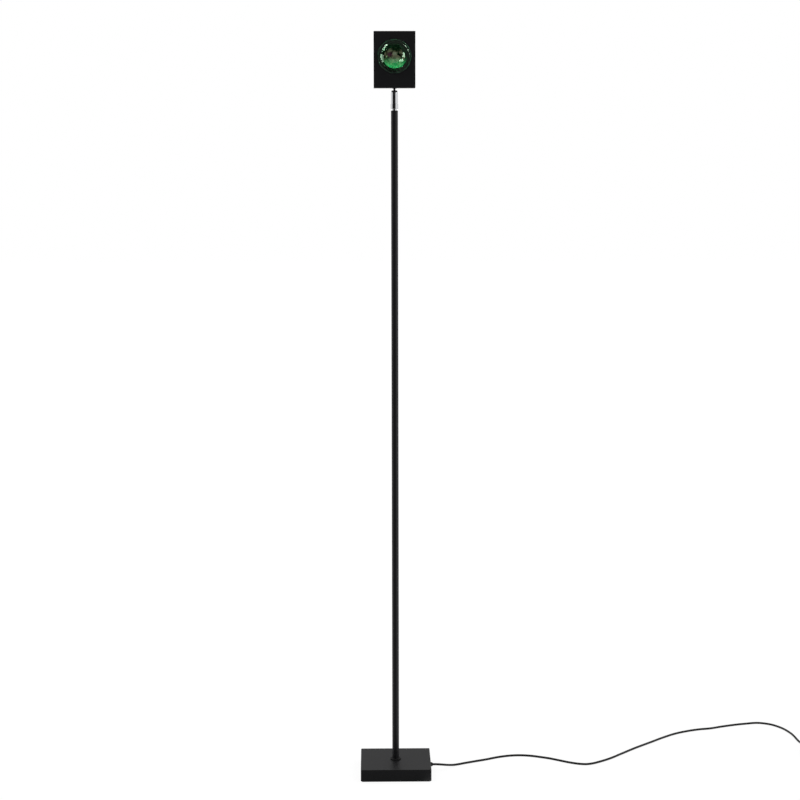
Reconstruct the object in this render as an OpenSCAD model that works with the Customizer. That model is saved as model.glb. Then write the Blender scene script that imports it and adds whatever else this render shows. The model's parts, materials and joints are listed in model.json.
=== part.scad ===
// Sunset projection lamp on a floor stand: a square weight, a slim pole,
// a ball swivel and a box head with a domed lens, and its mains lead.
// Millimetres. +Z is up, the lens looks along -Y, and the origin is the
// middle of the weight's underside, on the floor.

/* [Base] */
// Side of the square weight
base_side = 150; // [130:5:160]
// Thickness of the steel weight
base_t = 25; // [22:1:30]
// Thickness of the foam pad under the weight
pad_t = 1.5; // [1:0.5:3]
// Radius of the weight's four upright corners
base_r = 2.5; // [1:0.5:6]
// Chamfer on the weight's long edges
base_chamfer = 0.8; // [0.4:0.1:1.5]

/* [Pole] */
// Outer diameter of the pole
pole_d = 14.5; // [14:0.1:15]
// Wall of the pole
pole_wall = 1.5; // [1.2:0.1:1.6]
// Height of the pole's top above the floor
pole_top = 1410; // [600:5:1500]
// Outer diameter of the ring at the pole's foot
collar_d = 23; // [20:0.5:28]

/* [Swivel] */
// Diameter of the swivel's barrel
swivel_d = 14.3; // [14.1:0.1:14.8]
// Diameter of the ball
ball_d = 11; // [10.8:0.1:11.1]
// Diameter of the stem between the ball and the head
stem_d = 4.5; // [4:0.1:4.8]

/* [Head] */
// Width of the head
head_w = 85.5; // [84:0.5:92]
// Height of the head
head_h = 114; // [113:1:120]
// Distance from the stem to the head's front face, and to its back
head_reach = 32; // [32:0.5:34]
// Wall of the head's shell
shell_t = 2.5; // [2:0.1:3]
// Height of the lens axis above the head's underside
lens_rise = 63.5; // [62:0.5:64]

/* [Lens] */
// Diameter of the lens where it passes through the front wall
lens_d = 69.4; // [66:0.2:70]
// Height of the lens's dome in front of the wall
lens_sag = 14; // [9:0.5:18]

/* [Cord] */
// Diameter of the round two-core cord
cord_d = 4.8; // [4.6:0.1:4.8]

/* [Hidden] */

$fn = 64;
cut = 1;              // how far a cutting shape runs past the face it opens
run_gap = 0.05;       // radial clearance of a shaft that turns in its hole
slip_gap = 0.3;       // gap between pieces that must not rub

// Heights of the base and the pole
base_z = pad_t;
base_top = pad_t + base_t;
collar_h = 3;
ceiling_t = 8;                          // steel left above the pocket
ceiling_z = base_top - ceiling_t;
pole_bore = pole_d - 2 * pole_wall;
insert_l = 20;
thread_d = 8;                           // hollow fixing thread
thread_bore = 5;
cable_d = 3.4;                          // cable that climbs the pole

// The pocket under the weight, and what sits in it along X
pocket_x0 = -16;
pocket_x1 = 56;
pocket_y = 20;                          // half of its width
gland_z = 14;
gland_nut_af = 12;
nut_notch_l = 5.5;                      // room over the gland's nut
nut_notch_y = 8;
nut_notch_h = 3;
gland_thread_d = 8;
gland_head_d = 9.7;
gland_tip_d = 6.4;
gland_reach = 5;                        // how far it stands out of the weight
cord_exit_x = base_side / 2 + gland_reach;
clamp_x0 = 38;
clamp_x1 = 46;
clamp_y = 12;
clamp_screw_y = 8.5;
block_x0 = 18;
block_x1 = 34;
block_y = 10;
block_z = 6.5;
wire_y = 5;
nut_af = 13;
nut_h = 5;
washer_h = 1.5;

// Heights of the swivel
neck_h = 3.5;                           // bare neck between the pole and the swivel
neck_d = 10;
plug_z = pole_top + neck_h;
plug_h = 10;
plug_d = 15.6;
plug_floor = 3.8;
plug_bore = 13.4;
swivel_z = plug_z + plug_h;             // where the barrel starts
ball_z = plug_z + 31;
swivel_top = plug_z + 37.5;
swivel_bore = ball_d + 0.6;
groove_z = ball_z - 1.4;
clip_h = 1.2;
seat_z = ball_z - 11.5;
seat_top = ball_z - 3;
adjuster_z = plug_z + 6.2;
adjuster_h = 4.3;
spring_count = 4;
mouth_low_r = 4.2;
mouth_low_h = 3.4;
mouth_top_r = 5.2;
shoulder_r = 5.45;
flange_d = 10;
flange_h = 1;
stem_bore = 2.4;

// The head, as depths along Y from its front face to its back
head_z = ball_z + 11.5;
lens_z = head_z + lens_rise;
front_y = -head_reach;
front_t = 4;
inner_y = front_y + front_t;
plate_t = 4;
fin_h = 14;
fin_t = 2;
fin_pitch = 6.4;
fin_side = 5;                           // fins on each side of the middle one
plate_y = head_reach - fin_h - plate_t; // where the heat sink's plate starts
floor_t = 3;
boss_w = 7;
head_chamfer = 0.5;
post_x = 28;
post_front = -21;
post_back = 7;
post_h = 9.5;
board_z = head_z + floor_t + post_h;
board_t = 1.6;

// The optics behind the lens
hole_d = lens_d + 2 * slip_gap;
gasket_t = 0.6;
lens_flange_d = lens_d + 4.2;
lens_flange_t = 3;
lens_back = inner_y + gasket_t + lens_flange_t;
dome_r = lens_d / 2 - 0.4;              // the dome starts inside a narrow edge
lens_radius = (pow(dome_r, 2) + pow(lens_sag, 2)) / (2 * lens_sag);
barrel_side = 78;
barrel_lip = 3;
barrel_front = lens_back + barrel_lip;
barrel_bore = 68;
barrel_wall = 2;
filter_y = 2;
filter_t = 1.1;
filter_d = 42;
filter_view = 31;                       // clear opening behind the filter
filter_ring_d = 47.6;
filter_ring_t = 1.4;
barrel_end = filter_y + filter_t + 2;
barrel_screw_r = 34.5;
emitter_y = 10.7;
board_face = 11.9;                      // front of the lamp's round board
board_thick = 1.6;
led_board_d = 30;
holder_y = barrel_end + slip_gap;
holder_d = 26;
condenser_d = 22;
lead_x = 3;

// The inline switch on the cord, with its length along Y
lead_x_far = 918;
switch_y = 95;
switch_l = 62;
switch_w = 24;
switch_h = 18;
switch_split = 9;
switch_wall = 2;
switch_cord_z = 7.5;
rocker_l = 18;
rocker_w = 9;
rocker_rise = 4.6;
rocker_drop = 1;
rocker_dip = 1;
rocker_tilt = 8;
rocker_z = 14;
rocker_pin_d = 2.4;
rocker_pin_l = 14.4;
rocker_hole_l = 19.8;
rocker_hole_w = 9.8;
ear_in = 4.9;
ear_out = 7.5;

// The coil: two layers of two turns, wound in and out again
turns_in = 2;
turn_step = 5.3;
coil_in = 21.2;
coil_out = coil_in + turns_in * turn_step;
tie_t = 0.5;
coil_low = tie_t + cord_d / 2 + 0.05;
coil_high = coil_low + 5.25;
coil_x = lead_x_far + coil_out;
rings_per_turn = 24;

// The flat two-pin plug
plug_cord_z = 6.85;
plug_back_y = -52;
plug_l = 36;
plug_w = 35.3;
plug_neck_w = 15;
plug_t = 2 * plug_cord_z;
pin_d = 4;
pin_l = 19;
pin_tip_h = 1;
pin_root_d = 3;                         // thinner root, moulded into the plug
pin_root_out = 0.5;                     // root that shows at the plug's face
pin_inside = 5;
pin_pitch = 18.6;
relief_l = 25;

// The lead's route from the gland to the switch, laid on the floor
on_floor = cord_d / 2;
LEAD_ROUTE = [
    [cord_exit_x, 0, gland_z], [87, 0, 14], [99, 4, 12], [112, 14, 7.8], [126, 26, 3.9],
    [141, 37, on_floor], [163, 49, on_floor], [197, 66, on_floor], [231, 85, on_floor],
    [254, 93, on_floor], [276, 95, on_floor], [298, 91, on_floor], [319, 82, on_floor],
    [340, 71, on_floor], [361, 56, on_floor], [381, 42, on_floor], [402, 32, on_floor],
    [415, 30, on_floor], [428, 34, on_floor], [447, 47, on_floor], [472, 69, on_floor],
    [498, 98, on_floor], [537, 142, on_floor], [577, 183, on_floor], [616, 223, on_floor],
    [643, 247, on_floor], [668, 263, on_floor], [706, 280, on_floor], [730, 286, on_floor],
    [760, 300, on_floor], [818, 321, on_floor], [851, 327, on_floor], [876, 315, on_floor],
    [894, 291, on_floor], [908, 249, on_floor], [914, 183, on_floor], [917, 158, 4.6],
    [918, 142, 7.1], [918, 128, switch_cord_z], [918, 120, switch_cord_z]];
TAIL_ROUTE = [
    [918, 70, switch_cord_z], [918, 62, switch_cord_z], [918, 48, 7.1], [918, 33, 4.7],
    [918, 18, coil_low],
    [918, cord_d, coil_low]];
END_ROUTE = [
    [918, -cord_d, coil_high], [918, -9, coil_high], [918, -16, 7.5],
    [918, -22, plug_cord_z], [918, plug_back_y + relief_l, plug_cord_z]];

function unit(v) = v / norm(v);

// Slope of the route at point i, weighted by the spans on its two sides
function route_slope(p, i) =
    let (last = len(p) - 1,
         before = i > 0 ? norm(p[i] - p[i - 1]) : 1,
         after = i < last ? norm(p[i + 1] - p[i]) : 1)
    i == 0 ? (p[1] - p[0]) / after
    : i == last ? (p[last] - p[last - 1]) / before
    : ((p[i] - p[i - 1]) * after / before + (p[i + 1] - p[i]) * before / after)
        / (before + after);

// Cubic span from point i to the next one, at t from 0 to 1
function route_span(p, i, t) =
    let (span = norm(p[i + 1] - p[i]), t2 = t * t, t3 = t * t * t)
    (2 * t3 - 3 * t2 + 1) * p[i] + (t3 - 2 * t2 + t) * span * route_slope(p, i)
    + (3 * t2 - 2 * t3) * p[i + 1] + (t3 - t2) * span * route_slope(p, i + 1);

// The floor holds the cord up
function above_floor(v) = [v.x, v.y, max(on_floor, v.z)];

// Centre points of a tube's rings along a route, about ring_step apart
ring_step = 16.5;
function route_rings(p) = concat(
    [for (i = [0 : len(p) - 2])
        let (steps = max(1, round(norm(p[i + 1] - p[i]) / ring_step)))
        for (k = [0 : steps - 1]) above_floor(route_span(p, i, k / steps))],
    [p[len(p) - 1]]);

// Direction of a centre line at point i
function heading(c, i) =
    let (last = len(c) - 1)
    i == 0 ? unit(c[1] - c[0])
    : i == last ? unit(c[last] - c[last - 1])
    : unit(unit(c[i + 1] - c[i]) + unit(c[i] - c[i - 1]));

function ring_points(centre, along, d, sides) =
    let (across = unit(cross(along, [0, 0, 1])), up = cross(across, along))
    [for (k = [0 : sides - 1])
        centre + d / 2 * (cos(360 * k / sides) * across + sin(360 * k / sides) * up)];

function path_length(c) = [for (s = 0, i = 0; i < len(c); s = s + (i + 1 < len(c)
    ? norm(c[i + 1] - c[i]) : 0), i = i + 1) s][len(c) - 1];

// Tube of triangles carried along a centre line
module swept_tube(c, d, sides) {
    last = len(c) - 1;
    points = [for (i = [0 : last]) each ring_points(c[i], heading(c, i), d, sides)];
    side_faces = [for (i = [0 : last - 1], k = [0 : sides - 1])
        let (a = i * sides + k, b = i * sides + (k + 1) % sides)
        each [[a, a + sides, b], [b, a + sides, b + sides]]];
    first_cap = [for (k = [1 : sides - 2]) [0, k, k + 1]];
    end = last * sides;
    last_cap = [for (k = [1 : sides - 2]) [end, end + k + 1, end + k]];
    polyhedron(points, concat(side_faces, first_cap, last_cap), convexity = 8);
}

// Coil: radius falls by one step a turn, then grows again; it climbs a layer
// in the half turn where it reverses
function climb(t) = let (s = min(1, max(0, 2 * (t - turns_in) + 0.5))) s * s * (3 - 2 * s);
function coil_point(t) =
    let (r = coil_in + turn_step * abs(t - turns_in), a = 180 + 360 * t)
    [coil_x + r * cos(a), r * sin(a), coil_low + (coil_high - coil_low) * climb(t)];
coil_turns = 2 * turns_in;
COIL_LINE = concat(
    [[lead_x_far, cord_d, coil_low]],
    [for (k = [0 : coil_turns * rings_per_turn]) coil_point(k / rings_per_turn)],
    [[lead_x_far, -cord_d, coil_high]]);
coil_gap = min([for (i = [0 : len(COIL_LINE) - 1], j = [0 : len(COIL_LINE) - 1])
    if (j - i >= rings_per_turn / 2) norm(COIL_LINE[i] - COIL_LINE[j])]) - cord_d;
LEAD_LINE = route_rings(LEAD_ROUTE);
TAIL_LINE = route_rings(TAIL_ROUTE);
END_LINE = route_rings(END_ROUTE);
echo("least gap of the coil to itself", coil_gap);
echo("lengths of lead, tail, coil and end", path_length(LEAD_LINE),
    path_length(TAIL_LINE), path_length(COIL_LINE), path_length(END_LINE));
echo("rings of lead, tail and end", len(LEAD_LINE), len(TAIL_LINE), len(END_LINE));

// Shared shapes
module ring(d, bore, h) {
    difference() {
        cylinder(d = d, h = h);
        translate([0, 0, -cut]) cylinder(d = bore, h = h + 2 * cut);
    }
}

module hex_nut(af, bore, h) {
    difference() {
        cylinder(d = af / cos(30), h = h, $fn = 6);
        translate([0, 0, -cut]) cylinder(d = bore, h = h + 2 * cut);
    }
}

// A screw with its head's top at z = 0 and its shank going down
module pan_screw(head_d, head_t, shank_d, shank_l) {
    difference() {
        translate([0, 0, -head_t]) cylinder(d = head_d, h = head_t);
        for (a = [0, 90]) rotate([0, 0, a]) cube([head_d * 0.6, 0.6, 1.2], center = true);
    }
    translate([0, 0, -head_t - shank_l]) cylinder(d = shank_d, h = shank_l);
}

module along_x(x, y, z) {
    translate([x, y, z]) rotate([0, 90, 0]) children();
}

module along_y(x, y, z) {
    translate([x, y, z]) rotate([-90, 0, 0]) children();
}

// Rectangle with round corners, centred
module round_rect(w, h, r) {
    square([w - 2 * r, h], center = true);
    square([w, h - 2 * r], center = true);
    for (x = [-1, 1], y = [-1, 1]) translate([x * (w / 2 - r), y * (h / 2 - r)]) circle(r);
}

module round_plate(w, h, r, z0, z1) {
    translate([0, 0, z0]) linear_extrude(z1 - z0) round_rect(w, h, r, $fn = 32);
}

module four_corners(x, z) {
    for (i = [-1, 1], k = [-1, 1]) translate([i * x, 0, k * z]) children();
}

// Base: a pad, a steel weight with a pocket under it, and the pole's foot
module base_pad() {
    color("#2b2b2b")
        round_plate(base_side - 4, base_side - 4, base_r, 0, pad_t);
}

module weight_shape() {
    c = base_chamfer;
    hull() {
        round_plate(base_side, base_side, base_r, base_z + c, base_top - c);
        round_plate(base_side - 2 * c, base_side - 2 * c, base_r, base_z, base_top);
    }
}

module base_block() {
    color("#1c1c1d") difference() {
        weight_shape();
        translate([pocket_x0, -pocket_y, base_z - cut])
            cube([pocket_x1 - pocket_x0, 2 * pocket_y, ceiling_z - base_z + cut]);
        translate([pocket_x1 - nut_notch_l, -nut_notch_y, ceiling_z - cut])
            cube([nut_notch_l, 2 * nut_notch_y, nut_notch_h + cut]);
        translate([0, 0, ceiling_z - cut]) cylinder(d = thread_d + 0.4, h = ceiling_t + 2 * cut);
        along_x(pocket_x1 - cut, 0, gland_z)
            cylinder(d = gland_thread_d + 0.1, h = base_side / 2 - pocket_x1 + 2 * cut);
        for (y = [-1, 1]) translate([(clamp_x0 + clamp_x1) / 2, y * clamp_screw_y, ceiling_z - cut])
            cylinder(d = 3, h = 6 + cut);
    }
}

module base_collar() {
    color("#141414") translate([0, 0, base_top]) difference() {
        union() {
            cylinder(d = collar_d, h = collar_h - 1);
            translate([0, 0, collar_h - 1]) cylinder(d1 = collar_d, d2 = collar_d - 2, h = 1);
        }
        translate([0, 0, -cut]) cylinder(d = pole_d + 0.1, h = collar_h + 2 * cut);
    }
}

module base_nipple() {
    foot = ceiling_z - washer_h - nut_h - 1;
    color("#b9b9b4") translate([0, 0, foot])
        ring(thread_d, thread_bore, base_top + insert_l - 2 - foot);
}

module base_washer() {
    color("#c9c9c4") translate([0, 0, ceiling_z - washer_h]) ring(20, thread_d + 0.1, washer_h);
}

module base_nut() {
    color("#c9c9c4") translate([0, 0, ceiling_z - washer_h - nut_h])
        hex_nut(nut_af, thread_d + 0.02, nut_h);
}

// The lead's way in: gland, clamp and terminals
module cord_gland() {
    color("#111111") difference() {
        union() {
            along_x(pocket_x1 - 6, 0, gland_z)
                cylinder(d = gland_thread_d, h = base_side / 2 - pocket_x1 + 6);
            along_x(base_side / 2, 0, gland_z) cylinder(d = gland_head_d, h = 1.5);
            along_x(base_side / 2 + 1.5, 0, gland_z)
                cylinder(d1 = gland_head_d, d2 = gland_tip_d, h = gland_reach - 1.5);
        }
        along_x(pocket_x1 - 6 - cut, 0, gland_z) cylinder(d = cord_d + 0.06, h = 40);
    }
}

module gland_nut() {
    color("#161616") along_x(pocket_x1 - 4.5, 0, gland_z)
        rotate([0, 0, 30]) hex_nut(gland_nut_af, gland_thread_d + 0.04, 4.4);
}

module inner_cord() {
    color("#101010") along_x(block_x1 + 3, 0, gland_z)
        cylinder(d = cord_d, h = cord_exit_x - block_x1 - 3);
    color("#3a2a20") for (y = [-1, 1]) along_x(block_x1, y * 1.2, gland_z)
        cylinder(d = 1.8, h = 3);
}

module cord_clamp() {
    color("#dddad2") difference() {
        translate([clamp_x0, -clamp_y, gland_z - 5])
            cube([clamp_x1 - clamp_x0, 2 * clamp_y, ceiling_z - gland_z + 5]);
        along_x(clamp_x0 - cut, 0, gland_z) cylinder(d = cord_d + 0.06, h = 20);
        for (y = [-1, 1]) translate([(clamp_x0 + clamp_x1) / 2, y * clamp_screw_y, 0])
            cylinder(d = 3.04, h = base_top);
    }
}

module clamp_screws() {
    head_t = 2;
    color("#c9c9c4") for (y = [-1, 1])
        translate([(clamp_x0 + clamp_x1) / 2, y * clamp_screw_y, gland_z - 5 - head_t])
            rotate([180, 0, 0]) pan_screw(5.5, head_t, 2.98, ceiling_z - gland_z + 10);
}

module terminal_block() {
    color("#e6e3da") difference() {
        translate([block_x0, -block_y, block_z])
            cube([block_x1 - block_x0, 2 * block_y, ceiling_z - block_z]);
        for (y = [-1, 1], x = [block_x0 + 4, block_x1 - 4])
            translate([x, y * wire_y, block_z - cut]) cylinder(d = 3.06, h = 8 + cut);
    }
}

module terminal_screws() {
    color("#c8a24a") for (y = [-1, 1], x = [block_x0 + 4, block_x1 - 4])
        translate([x, y * wire_y, block_z + 2]) cylinder(d = 3, h = 5);
}

// Pole, its two threaded inserts and the cable inside
module pole_tube() {
    color("#1c1c1d") translate([0, 0, base_top]) ring(pole_d, pole_bore, pole_top - base_top);
}

module thread_insert() {
    ring(pole_bore - 0.02, thread_d + 0.02, insert_l);
}

module pole_foot_insert() {
    color("#8c8c88") translate([0, 0, base_top]) thread_insert();
}

module pole_top_insert() {
    color("#8c8c88") translate([0, 0, pole_top - insert_l]) thread_insert();
}

module pole_cable() {
    low = block_z + 2;
    color("#e9e6de") {
        translate([0, 0, low]) cylinder(d = cable_d, h = seat_z + 1 - low);
        translate([0, 0, low]) sphere(d = cable_d);
        along_x(0, 0, low) cylinder(d = cable_d, h = block_x0);
    }
}

module swivel_nipple() {
    color("#d5d5d2") difference() {
        union() {
            translate([0, 0, pole_top - insert_l + 3]) cylinder(d = thread_d, h = insert_l);
            translate([0, 0, pole_top]) cylinder(d = neck_d, h = neck_h - 0.1);
            translate([0, 0, pole_top + 1])
                cylinder(d = thread_d, h = neck_h - 1 + plug_floor + clip_h + 0.8);
        }
        translate([0, 0, pole_top - insert_l]) cylinder(d = thread_bore, h = 50);
    }
}

module pan_clip() {
    color("#8f8f8c") translate([0, 0, plug_z + plug_floor + 0.1])
        ring(11, thread_d + 0.02, clip_h);
}

// Swivel: it turns on the nipple and holds the ball
module swivel_plug() {
    color("#e2e2e0") difference() {
        union() {
            translate([0, 0, plug_z]) cylinder(d1 = plug_d - 1, d2 = plug_d, h = 0.5);
            translate([0, 0, plug_z + 0.5]) cylinder(d = plug_d, h = plug_h - 1.2);
            translate([0, 0, plug_z + plug_h - 0.7])
                cylinder(d1 = plug_d, d2 = swivel_d + 0.2, h = 0.7);
        }
        translate([0, 0, plug_z - cut]) cylinder(d = thread_d + 2 * run_gap, h = plug_h);
        translate([0, 0, plug_z + plug_floor]) cylinder(d = plug_bore, h = plug_h);
    }
}

// Barrel's outline: straight, then an elliptical shoulder up to the mouth
module barrel_outline() {
    shoulder_h = swivel_top - groove_z;
    straight = groove_z - swivel_z;
    square([swivel_d / 2, straight]);
    polygon(concat([[0, straight - 0.01]],
        [for (a = [0 : 9 : 90])
            [shoulder_r + (swivel_d / 2 - shoulder_r) * cos(a), straight + shoulder_h * sin(a)]],
        [[0, straight + shoulder_h]]));
}

module swivel_body() {
    spigot_z = plug_z + 6;
    slot_r = stem_d / 2 + slip_gap;
    color("#e2e2e0") difference() {
        union() {
            translate([0, 0, swivel_z]) rotate_extrude() barrel_outline();
            translate([0, 0, spigot_z])
                cylinder(d = plug_bore - 0.04, h = swivel_z - spigot_z + cut);
        }
        translate([0, 0, spigot_z - cut]) cylinder(d = swivel_bore, h = ball_z - spigot_z + cut);
        translate([0, 0, ball_z]) sphere(d = ball_d + 2 * run_gap);
        translate([0, 0, ball_z + mouth_low_h])
            cylinder(r1 = mouth_low_r, r2 = mouth_top_r, h = swivel_top - ball_z - mouth_low_h);
        translate([0, 0, swivel_top - 0.01]) cylinder(r = mouth_top_r, h = cut);
        along_y(0, 0, ball_z) cylinder(r = slot_r, h = swivel_d);
        translate([-slot_r, 0, ball_z]) cube([2 * slot_r, swivel_d, 10]);
        translate([0, 0, groove_z - 0.3]) ring(swivel_d + 2, swivel_d - 0.8, 0.6);
    }
}

module swivel_adjuster() {
    color("#a9a9a4") translate([0, 0, adjuster_z]) difference() {
        ring(swivel_bore - 0.04, 6.2, adjuster_h);
        translate([-8, -0.6, -cut]) cube([16, 1.2, 1 + cut]);
    }
}

// Four dished washers, pair against pair
module swivel_springs() {
    low = adjuster_z + adjuster_h;
    step = (seat_z - low) / spring_count;
    wall = 0.8;
    dish = step - wall - 0.04;
    color("#6e6e6b") for (k = [0 : spring_count - 1]) translate([0, 0, low + (k + 0.5) * step])
        mirror([0, 0, k % 2]) translate([0, 0, -step / 2]) rotate_extrude()
            polygon([[3.1, 0], [5.6, dish], [5.6, dish + wall], [3.1, wall]]);
}

module swivel_seat() {
    color("#f0ece0") difference() {
        translate([0, 0, seat_z]) cylinder(d = swivel_bore - 0.1, h = seat_top - seat_z);
        translate([0, 0, ball_z]) sphere(d = ball_d + 2 * run_gap);
        translate([0, 0, seat_z - cut]) cylinder(d = 6.2, h = seat_top);
    }
}

// Ball and hollow stem, which carry the head
module ball_stem() {
    color("#2c2c2e") difference() {
        union() {
            translate([0, 0, ball_z]) sphere(d = ball_d);
            translate([0, 0, ball_z]) cylinder(d = stem_d, h = head_z - ball_z + 8);
            translate([0, 0, head_z - flange_h - 0.05]) cylinder(d = flange_d, h = flange_h);
        }
        translate([0, 0, ball_z - ball_d]) cylinder(d = stem_bore, h = 40);
    }
}

module stem_leads() {
    color("#e9e6de") translate([0, 0, ball_z - ball_d / 2 + 1])
        cylinder(d = stem_bore - 0.2, h = board_z - ball_z + ball_d / 2 - 1.3);
}

module stem_washer() {
    color("#b9b9b4") translate([0, 0, head_z + floor_t + 0.05]) ring(10, stem_d + 0.04, 1);
}

module stem_nut() {
    color("#b9b9b4") translate([0, 0, head_z + floor_t + 1.05]) hex_nut(8, stem_d + 0.02, 3.2);
}

// Head: a box shell, open at the back
module shell_outline(w, h) {
    translate([0, head_z + head_h / 2]) square([w, h], center = true);
}

module along_head(y0, y1) {
    translate([0, y1, 0]) rotate([90, 0, 0]) linear_extrude(y1 - y0) children();
}

module head_block() {
    c = head_chamfer;
    hull() {
        along_head(front_y + c, plate_y) shell_outline(head_w, head_h);
        along_head(front_y, plate_y) shell_outline(head_w - 2 * c, head_h - 2 * c);
    }
}

module screw_bosses() {
    x = head_w / 2 - shell_t - boss_w / 2;
    z = head_h / 2 - shell_t - boss_w / 2;
    translate([0, 0, head_z + head_h / 2]) four_corners(x, z) difference() {
        translate([-boss_w / 2 - 0.5, inner_y - 0.5, -boss_w / 2 - 0.5])
            cube([boss_w + 1, plate_y - inner_y + 0.5, boss_w + 1]);
        along_y(0, plate_y - 12, 0) cylinder(d = 3, h = 12 + cut);
    }
}

module head_housing() {
    inner_h = head_h - shell_t - floor_t;
    color("#171718") {
        difference() {
            head_block();
            translate([-head_w / 2 + shell_t, inner_y, head_z + floor_t])
                cube([head_w - 2 * shell_t, plate_y - inner_y + cut, inner_h]);
            along_y(0, front_y - cut, lens_z) cylinder(d = hole_d, h = front_t + 2 * cut);
            translate([0, 0, head_z - cut])
                cylinder(d = stem_d + 2 * run_gap, h = floor_t + 2 * cut);
            for (x = [-1, 1], z = [-1, 1])
                along_y(x * barrel_screw_r, inner_y - 2.8, lens_z + z * barrel_screw_r)
                    cylinder(d = 2.5, h = 2.8 + cut);
        }
        screw_bosses();
        for (x = [-1, 1], y = [post_front, post_back])
            translate([x * post_x, y, head_z + floor_t - 0.5]) ring(5, 2, post_h + 0.5);
    }
}

// Optics, from the front to the back
module lens_gasket() {
    color("#0d0d0d") along_y(0, inner_y, lens_z) ring(lens_flange_d, hole_d + 0.4, gasket_t);
}

// Half of the lens's section, with depth along Y: dome, rim and flange
module lens_section() {
    intersection() {
        translate([0, front_y - lens_sag + lens_radius]) circle(lens_radius, $fn = 96);
        translate([0, front_y - lens_sag - cut]) square([lens_d, lens_sag + cut + 0.2]);
    }
    translate([0, front_y]) square([lens_d / 2, lens_back - front_y]);
    translate([0, lens_back - lens_flange_t]) square([lens_flange_d / 2, lens_flange_t]);
}

module lens() {
    color("#bfe6cf", 0.4) along_y(0, 0, lens_z) rotate_extrude() lens_section();
}

// Black tube behind the lens: a square plate, then a cone down to the filter
module barrel_cone() {
    r0 = barrel_bore / 2;
    r1 = filter_ring_d / 2 + 0.1;
    seat = filter_y - filter_ring_t;
    w = barrel_wall;
    rotate_extrude() polygon([
        [r0, barrel_front - 0.5], [r0 + w, barrel_front - 0.5], [r0 + w, barrel_front + 2],
        [r1 + w, seat], [r1 + w, barrel_end], [filter_view / 2, barrel_end],
        [filter_view / 2, filter_y + filter_t], [filter_d / 2 + 0.1, filter_y + filter_t],
        [filter_d / 2 + 0.1, filter_y], [r1, filter_y], [r1, seat], [r0, barrel_front]]);
}

module lens_barrel() {
    color("#0f0f10") {
        difference() {
            translate([0, 0, lens_z - head_z - head_h / 2])
                along_head(inner_y + 0.02, barrel_front) shell_outline(barrel_side, barrel_side);
            along_y(0, inner_y - cut, lens_z)
                cylinder(d = lens_flange_d + 0.4, h = lens_back - inner_y + cut);
            along_y(0, lens_back - cut, lens_z) cylinder(d = barrel_bore, h = barrel_lip + 2 * cut);
            for (x = [-1, 1], z = [-1, 1])
                along_y(x * barrel_screw_r, inner_y - cut, lens_z + z * barrel_screw_r)
                    cylinder(d = 2.6, h = 20);
        }
        along_y(0, 0, lens_z) barrel_cone();
    }
}

module barrel_screws() {
    head_t = 1.6;
    color("#9a9a96") for (x = [-1, 1], z = [-1, 1])
        along_y(x * barrel_screw_r, barrel_front + head_t, lens_z + z * barrel_screw_r)
            pan_screw(4.6, head_t, 2.46, barrel_front - inner_y + 2.4);
}

module dichroic_filter() {
    color("#7a3a86", 0.6) along_y(0, filter_y, lens_z) cylinder(d = filter_d, h = filter_t);
}

module filter_ring() {
    color("#1a1a1b") along_y(0, filter_y - filter_ring_t, lens_z)
        ring(filter_ring_d, filter_view + 1, filter_ring_t);
}

module condenser_lens() {
    r = 13;
    dome = 3.6;
    color("#dfe8ea", 0.5) {
        along_y(0, board_face - 3.6, lens_z) cylinder(d = condenser_d, h = 1.6);
        intersection() {
            translate([0, board_face - 3.6 - dome + r, lens_z]) sphere(r = r);
            along_y(0, board_face - 10, lens_z) cylinder(d = condenser_d - 2, h = 7);
        }
    }
}

module condenser_holder() {
    color("#e6e6e3") along_y(0, holder_y, lens_z) difference() {
        cylinder(d = holder_d, h = board_face - holder_y);
        translate([0, 0, -cut]) cylinder(d = condenser_d - 1.6, h = 20);
        translate([0, 0, board_face - 3.7 - holder_y]) cylinder(d = condenser_d + 0.1, h = 20);
    }
}

module led_emitter() {
    color("#e8c93a") translate([-4.5, emitter_y, lens_z - 4.5]) cube([9, board_face - emitter_y, 9]);
}

module led_board() {
    color("#e8e8e4") along_y(0, board_face, lens_z) cylinder(d = led_board_d, h = board_thick);
}

module thermal_pad() {
    color("#9fb0b8") along_y(0, board_face + board_thick, lens_z)
        cylinder(d = led_board_d, h = plate_y - board_face - board_thick);
}

module led_leads() {
    low = board_z + board_t;
    high = lens_z - led_board_d / 2 + 1.5;
    color("#b3261e") translate([-lead_x, board_face - 0.85, low]) cylinder(d = 1.5, h = high - low);
    color("#151515") translate([lead_x, board_face - 0.85, low]) cylinder(d = 1.5, h = high - low);
}

// Driver in the head's lower room
module driver_board() {
    color("#1f6b3a") difference() {
        translate([-post_x - 4, post_front - 4, board_z])
            cube([2 * post_x + 8, post_back - post_front + 9.5, board_t]);
        for (x = [-1, 1], y = [post_front, post_back])
            translate([x * post_x, y, board_z - cut]) cylinder(d = 2.2, h = board_t + 2 * cut);
    }
}

module driver_parts() {
    z = board_z + board_t;
    color("#e6c65a") translate([-13, -16, z]) cube([14, 13, 9]);
    color("#20242c") along_y(10, -20, z + 4.1) cylinder(d = 8, h = 12);
    color("#20242c") translate([16, -18, z]) cube([7, 10, 6]);
    color("#3a2f2a") translate([-22, -14, z]) cube([6, 9, 5]);
    color("#f0eee6") translate([-5, 3.5, z]) cube([10, 6, 5]);
}

module driver_screws() {
    head_t = 1.6;
    color("#c9c9c4") for (x = [-1, 1], y = [post_front, post_back])
        translate([x * post_x, y, board_z + board_t + head_t]) pan_screw(3.8, head_t, 1.96, 7);
}

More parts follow.
